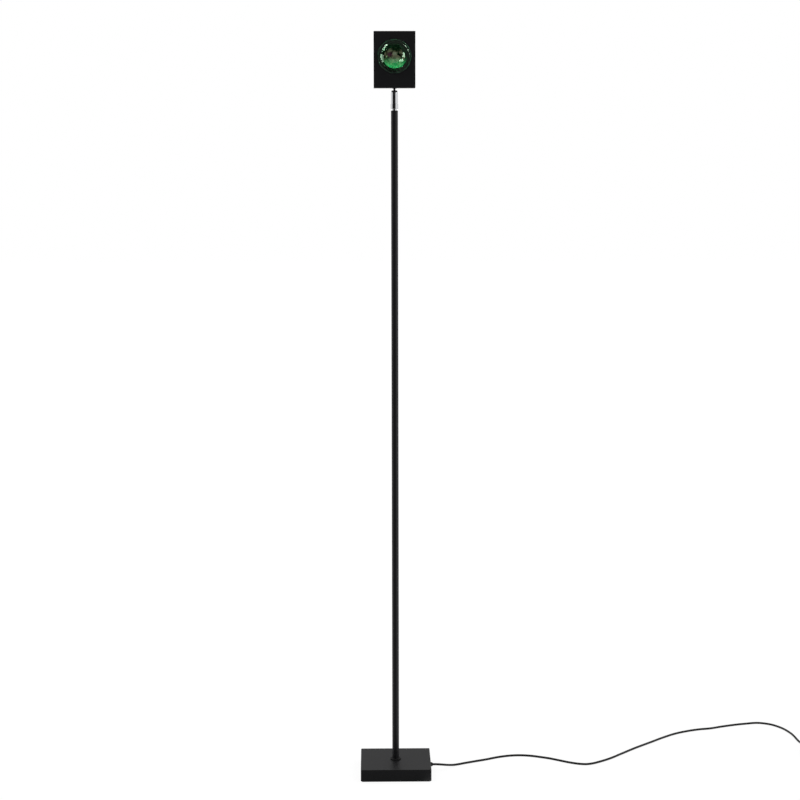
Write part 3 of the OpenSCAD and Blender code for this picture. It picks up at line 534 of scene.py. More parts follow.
def ground_glass_edge():
    """The lens's rim, ground with a diamond wheel: frosted by grit marks, drawn coarser than they are, green
    from the depth of glass behind it, and darker where the oil of the wheel has stayed."""
    material, tree, shader, place = new_finish("ground_glass_edge", IOR=1.52)
    grit = add(tree, "TexNoise", {"Vector": place, "Scale": per_mm(0.6), "Detail": 2.0})
    oil = add(tree, "TexNoise", {"Vector": place, "Scale": per_mm(14), "Detail": 2.0})
    wet = add(tree, "MapRange", {"Value": oil, "From Min": 0.42, "From Max": 0.6})
    worked(tree, shader, (wet, linear("#1c6a4a"), 0.2), (grit, 0.5, 0.65))
    return material


def dichroic_coat():
    """Glass with a stack of thin vacuum-deposited layers: a green mirror that lets orange and magenta
    through. Its base colour is painted light and shade: a cloudy brown haze for the light that gets through,
    a painted darker green shade above and at the rim, and a painted pink patch of light."""
    material, tree, shader, place = new_finish(
        "dichroic_filter_coat", Roughness=0.0, IOR=3.0, Transmission_Weight=0.5,
        Specular_Tint=colours().filter_green)
    cloud = add(tree, "TexNoise", {"Vector": place, "Scale": per_mm(4), "Detail": 3.0})
    shade = add(tree, "MapRange", {"Value": cloud, "From Min": 0.42, "From Max": 0.6})
    # Painted light: the brown haze stands for the tone of the light that gets through
    brown = add(tree, "Mix", {0: shade, 6: linear("#6e5442"), 7: linear("#f6d0b8")}, data_type="RGBA")
    axis = middle("dichroic_filter")
    # Painted shade: darker green towards the top
    height = add(tree, "SeparateXYZ", [place]).outputs["Z"]
    upper = add(tree, "MapRange", {"Value": height, "From Min": axis[2] + 7 * MM,
                                   "From Max": axis[2] + 12 * MM})
    # Painted shade: darker green at the rim
    out = add(tree, "VectorMath", [place, axis.tolist()], operation="DISTANCE")
    rim = add(tree, "MapRange", {"Value": out, "From Min": 11.5 * MM, "From Max": 13 * MM})
    painted_shade = add(tree, "Math", [upper, rim], operation="MAXIMUM")
    haze_and_painted_shade = add(tree, "Mix", {0: painted_shade, 6: brown, 7: linear("#1c3020")}, data_type="RGBA")
    # Painted light: a pink patch left of the middle and a little above it
    painted_pink_spot = (axis + np.array([-5.0, 0, 3.5]) * MM).tolist()
    away = add(tree, "VectorMath", [place, painted_pink_spot], operation="DISTANCE")
    near = add(tree, "MapRange", {"Value": away, "From Min": 1.5 * MM, "From Max": 4 * MM,
                                  "To Min": 0.85, "To Max": 0.0})
    colour = add(tree, "Mix", {0: near, 6: haze_and_painted_shade, 7: linear("#b0407c")}, data_type="RGBA")
    feed(tree, shader.inputs["Base Color"], colour)
    return material


def hook_tape():
    """Woven hook-and-loop tape: matt, with rows of loops 0.8 mm apart."""
    return grained("hook_and_loop_tape", {"Scale": per_mm(0.8)}, (linear("#343436"), 0.5), (0.8, 0.95), 0.15,
                   "TexVoronoi", IOR=1.5)


FINISHES = {}


def finishes():
    """Every finish of the lamp, by the name of its slot in the record."""
    if not FINISHES:
        FINISHES.update({
            "black_powder_coat": powder_coat(), "black_anodised": anodised_aluminium(),
            "foam_pad": foam_sheet(), "moulded_rubber": moulded_rubber(),
            "zinc_steel": plated_metal("zinc_plated_steel", "#c3c3bd", 0.28, 0.5),
            "spring_steel": plated_metal("oiled_spring_steel", "#85857f", 0.3, 0.4),
            "polished_chrome": chrome_plate(),
            "black_nickel": plated_metal("black_nickel_plate", "#2b2b2e", 0.2, 0.5),
            "natural_nylon": moulded_nylon("natural_nylon", "#e4ddc9", 0.4),
            "bare_brass": plated_metal("turned_brass", "#c9a24f", 0.25, 0.4),
            "cord_pvc": cord_sheath(),
            "lead_insulation": moulded_nylon("wire_insulation", "#a32018", 0.35),
            "cable_sheath": moulded_nylon("white_cable_sheath", "#e2e0d8", 0.4),
            "lens_glass": coated_lens_glass(), "dichroic_glass": dichroic_coat(),
            "condenser_glass": clear_glass(), "black_abs": textured_abs(),
            "black_pc": moulded_nylon("dead_black_polycarbonate", "#111112", 0.6),
            "white_pc": moulded_nylon("white_polycarbonate", "#e2e2de", 0.35),
            "white_board": moulded_nylon("white_solder_mask", "#e6e6e0", 0.3),
            "phosphor": moulded_nylon("silicone_phosphor", "#e0bd2e", 0.4),
            "silicone_pad": moulded_nylon("thermal_silicone", "#9aa8ae", 0.6),
            "green_board": moulded_nylon("green_solder_mask", "#1a5c33", 0.25),
            "driver_components": moulded_nylon("component_moulding", "#3a3c42", 0.3),
            "black_screws": plated_metal("black_oxide_steel", "#2a2a2c", 0.35, 0.4),
            "print": moulded_nylon("printed_white_ink", "#d8d8d4", 0.5),
            "tape": hook_tape(), "glass_edge": ground_glass_edge(),
        })
    return FINISHES


# ---------------------------------------------------------------- the pieces

# The cord's straight stretch along Y, and the heights of its centre line
CORD_X = 0.918
ON_FLOOR, SWITCH_CORD_Z, PLUG_CORD_Z = 0.0024, 0.0075, 0.00685
COIL_LOW, COIL_HIGH = 0.00295, 0.0082
# Radius of the coil's inner turn, distance of its turns and turns in each of its two layers
COIL_IN, TURN_STEP, LAYER_TURNS = 0.0212, 0.0053, 2
# The cord's route from the gland to the switch, the same points as in the part's source
LEAD_EXIT = np.array([high("cord_gland")[0], 0.0, 0.014])
LEAD_ON_FLOOR = [
    (0.141, 0.037), (0.163, 0.049), (0.197, 0.066), (0.231, 0.085), (0.254, 0.093), (0.276, 0.095),
    (0.298, 0.091), (0.319, 0.082), (0.340, 0.071), (0.361, 0.056), (0.381, 0.042), (0.402, 0.032),
    (0.415, 0.030), (0.428, 0.034), (0.447, 0.047), (0.472, 0.069), (0.498, 0.098), (0.537, 0.142),
    (0.577, 0.183), (0.616, 0.223), (0.643, 0.247), (0.668, 0.263), (0.706, 0.280), (0.730, 0.286),
    (0.760, 0.300), (0.818, 0.321), (0.851, 0.327), (0.876, 0.315), (0.894, 0.291), (0.908, 0.249),
    (0.914, 0.183)]
LEAD_ROUTE = [
    LEAD_EXIT, (0.087, 0, 0.014), (0.099, 0.004, 0.012), (0.112, 0.014, 0.0078), (0.126, 0.026, 0.0039),
    *((x, y, ON_FLOOR) for x, y in LEAD_ON_FLOOR), (0.917, 0.158, 0.0046), (CORD_X, 0.142, 0.0071),
    (CORD_X, 0.128, SWITCH_CORD_Z), (CORD_X, 0.120, SWITCH_CORD_Z)]
TAIL_ROUTE = [(CORD_X, y, z) for y, z in (
    (0.070, SWITCH_CORD_Z), (0.062, SWITCH_CORD_Z), (0.048, 0.0071), (0.033, 0.0047), (0.018, COIL_LOW),
    (0.0048, COIL_LOW))]
END_ROUTE = [(CORD_X, y, z) for y, z in (
    (-0.0048, COIL_HIGH), (-0.009, COIL_HIGH), (-0.016, 0.0075), (-0.022, PLUG_CORD_Z),
    (-0.027, PLUG_CORD_Z))]


def coil_line(per_turn=48):
    """Centre line of the coil: its radius falls by one step a turn and grows again, and it climbs a layer
    by a smooth step in the half turn where it reverses."""
    t = np.linspace(0, 2 * LAYER_TURNS, 2 * LAYER_TURNS * per_turn + 1)
    radius = COIL_IN + TURN_STEP * np.abs(t - LAYER_TURNS)
    s = np.clip(2 * (t - LAYER_TURNS) + 0.5, 0, 1)
    climb = s * s * (3 - 2 * s)
    a = pi + 2 * pi * t
    centre_x = CORD_X + COIL_IN + LAYER_TURNS * TURN_STEP
    return np.column_stack([centre_x + radius * np.cos(a), radius * np.sin(a),
                            COIL_LOW + (COIL_HIGH - COIL_LOW) * climb])


class LampOperator(bpy.types.Operator):
    """Base of the lamp's operators."""
    bl_options = {"REGISTER", "UNDO"}


class SUNSETLAMP_OT_camera(LampOperator):
    """Place the camera at the photograph's angle"""
    bl_idname = "sunset_lamp.camera"
    bl_label = "Place Camera"

    def execute(self, context):
        s = studio()
        yaw, pitch, roll = s.camera_yaw, s.camera_pitch, s.camera_roll
        ahead = Vector((-sin(yaw) * cos(pitch), cos(yaw) * cos(pitch), -sin(pitch)))
        right = Vector((cos(yaw), sin(yaw), 0))
        up = right.cross(ahead)
        axes = Matrix((cos(roll) * right + sin(roll) * up, cos(roll) * up - sin(roll) * right, -ahead))
        data = bpy.data.cameras.new("lamp_camera")
        data.sensor_width = 36
        data.lens = s.camera_lens
        camera = bpy.data.objects.new("lamp_camera", data)
        camera.matrix_world = Matrix.Translation(s.camera_place) @ axes.transposed().to_4x4()
        context.collection.objects.link(camera)
        context.scene.camera = camera
        return {"FINISHED"}


class SUNSETLAMP_OT_cords(LampOperator):
    """Lay the lead on the floor, and the coil with its tail and its end"""
    bl_idname = "sunset_lamp.cords"
    bl_label = "Lay Cords"

    def execute(self, context):
        d = sizes().cord_diameter
        lead = route(LEAD_ROUTE, ON_FLOOR)
        rest = np.vstack([route(TAIL_ROUTE, ON_FLOOR)[:-1], coil_line(), route(END_ROUTE, ON_FLOOR)])
        for name, line, nodes, leaves, end, laid, pieces in (
                ("mains_lead", lead, "cord_lead", LEAD_EXIT, "fitting", "loose",
                 ["gland", "switch_foot", "switch_cover", "rocker_cap", "switch_screws", "switch_contacts",
                  "inner_cord"]),
                ("coiled_cord", rest, "cord_tail cord_coil cord_end", TAIL_ROUTE[0], "plug", "coiled",
                 ["ribbed_relief", "plug", "plug_pins_sleeved", "strap"])):
            surface, uv = tube(line, d / 2)
            piece = make_piece(name, "stand", "cord_pvc", nodes, surface, uv=uv, crease=80)
        return {"FINISHED"}


class SUNSETLAMP_OT_base(LampOperator):
    """Shape the square weight, its foam pad and the ring at the pole's foot"""
    bl_idname = "sunset_lamp.base"
    bl_label = "Shape Base"

    def execute(self, context):
        e, r = sizes().edge, sizes().corner
        (_, _, bottom), (half, _, top) = ends("base_block")
        ceiling = top - 8 * MM
        pocket, pocket_at = (36 * MM, 20 * MM, 1 * MM), (20 * MM, 0)
        rows = [(0, 0, 0, ceiling, *pocket_at), (*pocket, ceiling, *pocket_at),
                (*pocket, bottom, *pocket_at)]
        rows += [(half - i, half - i, r - i, bottom + e - h) for i, h in rounding(e, e)[::-1]]
        rows += [(half - i, half - i, r - i, top - e + h) for i, h in rounding(e, e)]
        rows += [(0, 0, 0, top)]
        make_piece("weight", "stand", "black_powder_coat", "base_block", grid(stacked_loops(rows)))
        (_, _, under), (half, _, over) = ends("base_pad")
        rows = [(0, 0, 0, under), (half, half, r, under), (half, half, r, over), (0, 0, 0, over)]
        make_piece("foam_pad", "stand", "foam_pad", "base_pad", grid(stacked_loops(rows)))
        (_, _, foot), (outer, _, head) = ends("base_collar")
        bore = high("pole_tube")[0] + 0.05 * MM
        ring = rounded([(bore, foot, 0), (outer, foot, 0.2 * MM), (outer, head, 1.2 * MM),
                        (bore, head, 0.2 * MM)])
        make_piece("foot_ring", "stand", "moulded_rubber", "base_collar", turned(ring))
        return {"FINISHED"}


class SUNSETLAMP_OT_pole(LampOperator):
    """Shape the pole and the gland where the lead leaves the weight"""
    bl_idname = "sunset_lamp.pole"
    bl_label = "Shape Pole"

    def execute(self, context):
        e = sizes().fine_edge
        (_, _, foot), (outer, _, head) = ends("pole_tube")
        inner = outer - 1.5 * MM
        wall = rounded([(inner, foot, 0), (outer, foot, 0), (outer, head, e), (inner, head, e)])
        make_piece("pole", "stand", "black_powder_coat", "pole_tube", turned(wall))
        (inside, _, _), (out, _, _) = ends("cord_gland")
        face, bore = high("base_block")[0], sizes().cord_diameter / 2 + 0.03 * MM
        shank_r, collar_r, tip_r = 4 * MM, 4.85 * MM, 3.2 * MM
        gland = rounded([
            (bore, inside, 0), (shank_r, inside, 0.2 * MM), (shank_r, face, 0), (collar_r, face, 0),
            (collar_r, face + 1.5 * MM, 0.5 * MM), (tip_r, out, 0.4 * MM), (bore, out, 0)])
        make_piece("gland", "stand", "moulded_rubber", "cord_gland",
                   turned(gland, (0, 0, LEAD_EXIT[2]), "x", steps=64))
        return {"FINISHED"}


def slotted_barrel(levels, outer, inner, half_slot, columns=96):
    """Barrel with a slot at +Y: at each level an arc of outer radius and one of inner radius run from one
    side of the slot round to the other, starting asin(half slot / radius) off the slot's middle. Rows are
    the outer wall going up and the inner wall coming down, so wrapped they close the top and the foot, and
    the slot's two sides are strips between an outer and an inner arc's ends."""
    def arcs(radius):
        start = np.arcsin(half_slot / radius)
        a = start[:, None] + (2 * pi - 2 * start[:, None]) * np.linspace(0, 1, columns)
        return np.stack([radius[:, None] * np.sin(a), radius[:, None] * np.cos(a),
                         levels[:, None] + 0 * a], axis=-1)

    walls = [arcs(outer), arcs(inner)]
    around = grid(np.concatenate([walls[0], walls[1][::-1]]), wrap_rows=True, wrap_columns=False)
    cut = np.flatnonzero(half_slot > 0)[0] - 1
    sides = [grid(np.stack([walls[0][cut:, k], walls[1][cut:, k]], axis=1), wrap_columns=False)
             for k in (0, -1)]
    return [around, *sides]


class SUNSETLAMP_OT_swivel(LampOperator):
    """Shape the chrome swivel: neck, foot, slotted barrel, and the ball with its stem and flange"""
    bl_idname = "sunset_lamp.swivel"
    bl_label = "Shape Swivel"

    def execute(self, context):
        e = sizes().fine_edge
        pole_top = high("pole_tube")[2]
        (_, _, foot_z), (foot_r, _, foot_top) = ends("swivel_plug")
        nipple_low, nipple_high = low("swivel_nipple")[2], high("swivel_nipple")[2]
        thread_r, bore_r, neck_r, neck_top = 4 * MM, 2.5 * MM, 5 * MM, foot_z - 0.1 * MM
        neck = rounded([
            (bore_r, nipple_low, 0), (thread_r, nipple_low, e), (thread_r, pole_top, 0),
            (neck_r, pole_top, e), (neck_r, neck_top, e), (thread_r, neck_top, 0),
            (thread_r, nipple_high, e), (bore_r, nipple_high, 0)])
        make_piece("neck", "stand", "polished_chrome", "swivel_nipple", turned(neck))

        hole_r, socket_r, floor_z = 4.05 * MM, 6.7 * MM, foot_z + 3.8 * MM
        foot = rounded([
            (hole_r, foot_z, 0), (foot_r, foot_z, 0.5 * MM), (foot_r, foot_top, 0.6 * MM),
            (socket_r, foot_top, 0), (socket_r, floor_z, 0), (hole_r, floor_z, 0)])
        make_piece("swivel_foot", "swivel", "polished_chrome", "swivel_plug", turned(foot))

        (_, _, body_z), (barrel_r, _, body_top) = ends("swivel_body")
        shoulder_r, mouth_r, throat_r, spigot_r = 5.45 * MM, 5.2 * MM, 4.2 * MM, 6.68 * MM
        ball_z = foot_z + 31 * MM
        groove_z, groove_depth, groove_half = ball_z - 1.4 * MM, 0.4 * MM, 0.3 * MM
        bore, seat_r, lip_z = 5.8 * MM, 5.55 * MM, ball_z + 3.4 * MM
        slot = 2.55 * MM
        # A step in a wall is two levels this near to each other
        near = 0.01 * MM
        levels = np.sort(np.concatenate([
            [body_z, foot_top - near, foot_top, groove_z - groove_half, groove_z - groove_half + near,
             groove_z + groove_half - near, groove_z + groove_half],
            np.linspace(ball_z - slot, ball_z, 9), [lip_z - near, lip_z],
            ball_z + slot * (1 - np.cos(np.linspace(0, pi / 2, 6)))[1:],
            np.linspace(ball_z + slot + 0.5 * MM, body_top, 12)]))
        rise = np.clip((levels - groove_z) / (body_top - groove_z), 0, 1)
        outer = shoulder_r + (barrel_r - shoulder_r) * np.sqrt(1 - rise ** 2)
        outer[levels < foot_top - near / 2] = spigot_r
        outer[np.abs(levels - groove_z) < groove_half - near / 2] -= groove_depth
        inner = np.full(levels.size, bore)
        cone = levels >= lip_z - near / 2
        ball = (levels >= ball_z) & ~cone
        inner[ball] = np.sqrt(seat_r ** 2 - (levels[ball] - ball_z) ** 2)
        inner[cone] = throat_r + (mouth_r - throat_r) * (levels[cone] - lip_z) / (body_top - lip_z)
        half_slot = np.sqrt(slot ** 2 - np.clip(ball_z - levels, 0, slot) ** 2)
        make_piece("swivel_barrel", "swivel", "polished_chrome", "swivel_body",
                   *slotted_barrel(levels, outer, inner, half_slot), crease=30)

        stem_r, stem_bore, ball_r, stem_top = 2.25 * MM, 1.2 * MM, 5.5 * MM, high("ball_stem")[2]
        flange_top = low("head_housing")[2] - 0.05 * MM
        flange_z, flange_r = flange_top - 1 * MM, 5 * MM
        a = np.linspace(np.arcsin(stem_bore / ball_r), pi - np.arcsin(stem_r / ball_r), 40)
        ball_arc = np.column_stack([ball_r * np.sin(a), ball_z - ball_r * np.cos(a)])
        stem = rounded([
            (stem_r, ball_z + ball_r, 0), (stem_r, flange_z, 0), (flange_r, flange_z, 0.25 * MM),
            (flange_r, flange_top, 0.25 * MM), (stem_r, flange_top, 0), (stem_r, stem_top, 0),
            (stem_bore, stem_top, 0)])
        make_piece("ball_and_stem", "ball", "black_nickel", "ball_stem", turned(np.vstack([ball_arc, stem])))
        return {"FINISHED"}


class SUNSETLAMP_OT_head(LampOperator):
    """Shape the head's shell with its round opening, and the finned back with its screws"""
    bl_idname = "sunset_lamp.head"
    bl_label = "Shape Head"

    def execute(self, context):
        e, wall = sizes().edge * 0.75, sizes().shell_wall
        (_, front, bottom), (half, back, top) = ends("head_housing")
        axis_z = middle("lens")[2]
        down, up = axis_z - bottom, top - axis_z
        front_wall, hole, lip, seam = 4 * MM, 35 * MM, 0.4 * MM, 0.25 * MM
        ray = rays(face_loop(half, down, up, e))

        def box(inward, depth):
            return on_front(face_loop(half - inward, down - inward, up - inward, e), depth)

        rows = [box(seam, back), box(0, back - seam)]
        rows += [box(i, front + e - h) for i, h in rounding(e, e)]
        rows += [on_front(ray * (hole + lip - h), front + i) for i, h in rounding(lip, lip)]
        rows += [on_front(ray * hole, front + front_wall), box(wall, front + front_wall), box(wall, back)]
        make_piece("head_shell", "head", "black_powder_coat", "head_housing",
                   grid(np.stack(rows), wrap_rows=True))

        (left, flat, foot), (right, tip, top) = ends("heat_sink")
        root = flat + 4 * MM
        fin_pitch, half_fin, fins = 6.4 * MM, 1 * MM, 11
        fillet, tip_r, sheet_r = 0.6 * MM, 0.5 * MM, 0.2 * MM
        # The fins end a little short of the plate, and their common foot is hidden in it
        sunk, short = 0.3 * MM, 2 * MM
        comb = [(right - sunk, root - 2 * sunk, 0), (right - sunk, root - sunk, 0)]
        for x in (np.arange(fins)[::-1] - (fins - 1) / 2) * fin_pitch:
            comb += [(x + half_fin, root - sunk, fillet), (x + half_fin, tip, tip_r),
                     (x - half_fin, tip, tip_r), (x - half_fin, root - sunk, fillet)]
        comb += [(left + sunk, root - sunk, 0), (left + sunk, root - 2 * sunk, 0)]
        sheet = [(right, flat, sheet_r), (right, root, fillet), (left, root, fillet), (left, flat, sheet_r)]
        make_piece("finned_back", "head", "black_anodised", "heat_sink",
                   *extruded(rounded(sheet, 5), foot, top),
                   *extruded(rounded(comb, 5), foot + short, top - short), crease=30)
        away = 6 * MM
        heads = [(x, root, z) for x in (left + away, right - away) for z in (foot + away, top - away)]
        make_piece("back_screws", "head", "black_screws", "heat_sink_screws",
                   *(screw(at, head_r=2.6 * MM, head_t=2.2 * MM, shank_r=1.48 * MM, shank_l=14 * MM)
                     for at in heads))
        return {"FINISHED"}


class SUNSETLAMP_OT_lens(LampOperator):
    """Shape the domed lens, the tube behind it and the filter with its ring"""
    bl_idname = "sunset_lamp.lens"
    bl_label = "Shape Lens"

    def execute(self, context):
        axis = middle("lens")
        centre = (axis[0], 0, axis[2])
        front = low("head_housing")[1]
        (_, apex, _), (flange_r, back, _) = ends("lens")
        rim_r, ground_r, flange_front = 34.7 * MM, 30.2 * MM, back - 3 * MM
        dome_r, sag = rim_r - 0.4 * MM, front - apex
        ball_r = (dome_r ** 2 + sag ** 2) / (2 * sag)
        a = np.linspace(0, np.arcsin(dome_r / ball_r), 48)
        dome = np.column_stack([ball_r * np.sin(a), apex + ball_r * (1 - np.cos(a))])
        edge = rounded([
            (dome_r, front, 0), (rim_r, front + 0.2 * MM, 0.15 * MM), (rim_r, flange_front, 0),
            (flange_r, flange_front, 0.3 * MM), (flange_r, back, 0.3 * MM), (ground_r, back, 0),
            (0, back, 0)], closed=False)
        lens = make_piece("domed_lens", "head", "lens_glass", "lens",
                          turned(np.vstack([dome, edge]), centre, "y", closed=False, steps=160), crease=30)

        def on_rim(centres):
            out = np.hypot(centres[:, 0] - axis[0], centres[:, 2] - axis[2])
            return (out > ground_r) & (centres[:, 1] > front + 0.1 * MM)

        paint(lens, "glass_edge", on_rim)

        (_, plate_front, _), (plate_half, tube_end, _) = ends("lens_barrel")
        (_, ring_y, _), (outside, _, _) = ends("filter_ring")
        (_, filter_low, _), (disc_r, filter_high, _) = ends("dichroic_filter")
        mouth_y, wall, baffle = back + 3 * MM, 2 * MM, 1.2 * MM
        seat_r, mouth_r, ring_r, filter_r, view_r = 37 * MM, 34 * MM, 23.9 * MM, 21.1 * MM, 15.5 * MM
        part = np.linspace(0, 1, 9)
        cone_r, cone_y = mouth_r + (ring_r - mouth_r) * part, mouth_y + (ring_y - mouth_y) * part
        # The tube narrows in steps, which trap stray light
        profile = [(seat_r, plate_front), (seat_r, back), (mouth_r, back), (mouth_r, mouth_y)]
        for r0, r1, y in zip(cone_r[:-1], cone_r[1:], cone_y[1:]):
            profile += [(r0, y), (r1, y)]
        profile += [(ring_r, filter_low), (filter_r, filter_low), (filter_r, filter_high),
                    (view_r, filter_high), (view_r, tube_end), (ring_r + wall, tube_end),
                    (ring_r + wall, ring_y), (mouth_r + wall, mouth_y + baffle), (mouth_r + wall, mouth_y)]
        square = face_loop(plate_half, plate_half, plate_half, 1 * MM)
        rows = [on_front(square, plate_front), *(on_front(rays(square) * r, y) for r, y in profile),
                on_front(square, mouth_y)]
        make_piece("lens_tube", "head", "black_pc", "lens_barrel", grid(np.stack(rows), wrap_rows=True),
                   crease=30)

        bore, groove, fine = view_r + 0.5 * MM, 0.5 * MM, 0.1 * MM
        ring = rounded([
            (bore, filter_low, 0), (bore, ring_y + 0.3 * MM, fine), (bore + 0.8 * MM, ring_y, fine),
            (bore + 3.5 * MM, ring_y, fine), (bore + 3.8 * MM, ring_y + groove, fine),
            (outside - 1.6 * MM, ring_y + groove, fine), (outside - 1.3 * MM, ring_y, fine),
            (outside, ring_y, 2 * fine), (outside, filter_low, 0)], 4)
        make_piece("retaining_ring", "head", "black_anodised", "filter_ring", turned(ring, centre, "y"),
                   crease=30)
        disc = rounded([(0, filter_low, 0), (disc_r, filter_low, 2 * fine), (disc_r, filter_high, 2 * fine),
                        (0, filter_high, 0)], closed=False)
        make_piece("green_filter", "head", "dichroic_glass", "dichroic_filter",
                   turned(disc, centre, "y", closed=False))
        return {"FINISHED"}


class SUNSETLAMP_OT_switch(LampOperator):
    """Shape the inline switch: its two shells, and the rocker with its on and off marks"""
    bl_idname = "sunset_lamp.switch"
    bl_label = "Shape Switch"

    def execute(self, context):
        bottom, split, top = low("switch_bottom")[2], high("switch_bottom")[2], high("switch_top")[2]
        centre = middle("switch_bottom")[:2]
        half_x, half_y = high("switch_bottom")[:2] - centre
        r, wall, line, shoulder = 3 * MM, 2 * MM, 0.35 * MM, 2.5 * MM

        def level(inward, height, radius):
            return half_x - inward, half_y - inward, radius, height

        rows = [(0, 0, 0, bottom)]
        rows += [level(i, bottom + shoulder - h, r - i / 2)
                 for i, h in rounding(1.2 * MM, shoulder, 6)[::-1]]
        rows += [level(0, split - line, r), level(line, split, r - line), level(wall, split, r / 2),
                 level(wall, bottom + wall, r / 2), (0, 0, 0, bottom + wall)]
        make_piece("switch_foot", "stand", "black_abs", "switch_bottom", grid(stacked_loops(rows, centre)))

        hole_x, hole_y, hole_r, lip = 4.9 * MM, 9.9 * MM, 0.5 * MM, 0.3 * MM
        rows = [level(wall, split, r / 2), level(line, split, r - line), level(0, split + line, r)]
        rows += [level(i, top - shoulder + h, r - i / 2) for i, h in rounding(1.6 * MM, shoulder, 6)]
        rows += [(hole_x + lip - h, hole_y + lip - h, hole_r, top - i) for i, h in rounding(lip, lip, 6)]
        rows += [(hole_x, hole_y, hole_r, top - wall), level(wall, top - wall, r / 2)]
        make_piece("switch_cover", "stand", "black_abs", "switch_top",
                   grid(stacked_loops(rows, centre), wrap_rows=True))
        self.rocker(*centre)
        return {"FINISHED"}

    def rocker(self, x, y):
        """A dished outline of (y, z) carried along X, a little smaller at both ends, with a pin through it.
        It is turned by its tilt about the pin."""
        half, tilt, pin_z = 4.5 * MM, radians(-8), 14 * MM
        reach, drop, dip, rise = 9 * MM, 1 * MM, 3.6 * MM, 4.6 * MM
        outline = rounded([(-reach, -drop, 0.4 * MM), (reach, -drop, 0.4 * MM), (reach, rise, 0.6 * MM),
                           (0, dip, 12 * MM), (-reach, rise, 0.6 * MM)], 7)
        heart, edge = np.array([0, 1.6 * MM]), 0.4 * MM
        inset, size = rounding(edge, 0.06, 4).T
        at_x = np.concatenate([[-half], inset - half, half - inset[::-1], [half]])
        size = np.concatenate([[0], 0.94 + size, 0.94 + size[::-1], [0]])
        loops = heart + (outline - heart) * size[:, None, None]
        body = grid(np.concatenate([np.broadcast_to(at_x[:, None, None], loops.shape[:2] + (1,)), loops],
                                   axis=-1))
        pin_r, pin_half = 1.2 * MM, 7.2 * MM
        pin = turned([(0, -pin_half), (pin_r, -pin_half), (pin_r, pin_half), (0, pin_half)], axis="x",
                     closed=False, steps=24)
        mark_y, proud = 5.2 * MM, 0.12 * MM

        def on_slope(outline, y):
            """Lower and upper outline of a flat mark that stands out of the slope at y."""
            slope = atan2(rise - dip, reach) * np.sign(y)
            x, along = outline.T
            face = dip + abs(y) * (rise - dip) / reach
            base = np.column_stack([x, y + along * cos(slope), face + along * sin(slope)])
            up = np.array([0, -sin(slope), cos(slope)]) * proud
            return np.stack([base - up, base + up])

        bar_x, bar_y, bar_r = 0.35 * MM, 1.7 * MM, 0.2 * MM
        bar = rounded([(-bar_x, -bar_y, bar_r), (bar_x, -bar_y, bar_r), (bar_x, bar_y, bar_r),
                       (-bar_x, bar_y, bar_r)], 4)
        circle = on_circle((0, 0), 1, np.linspace(0, 2 * pi, 40, endpoint=False))
        stroke, whole = on_slope(bar, -mark_y), np.arange(len(bar))[None]
        outer, inner = (on_slope(circle * r, mark_y) for r in (1.7 * MM, 1.05 * MM))
        marks = [grid(stroke), (stroke[1], whole), (stroke[0], whole),
                 grid(np.stack([outer[0], outer[1], inner[1], inner[0]]), wrap_rows=True)]
        turn = np.array([[1, 0, 0], [0, cos(tilt), -sin(tilt)], [0, sin(tilt), cos(tilt)]])
        at = np.array([x, y, pin_z])
        piece = make_piece("rocker_cap", "rocker", "black_abs", "switch_rocker",
                           *((points @ turn.T + at, faces) for points, faces in (body, pin, *marks)))

        def printed(centres):
            local = (centres - at) @ turn
            face = dip + np.abs(local[:, 1]) * (rise - dip) / reach
            near = np.hypot(local[:, 0], np.abs(local[:, 1]) - mark_y) < 1.9 * MM
            return near & (local[:, 2] > face + proud * 2 / 3)

        paint(piece, "print", printed)


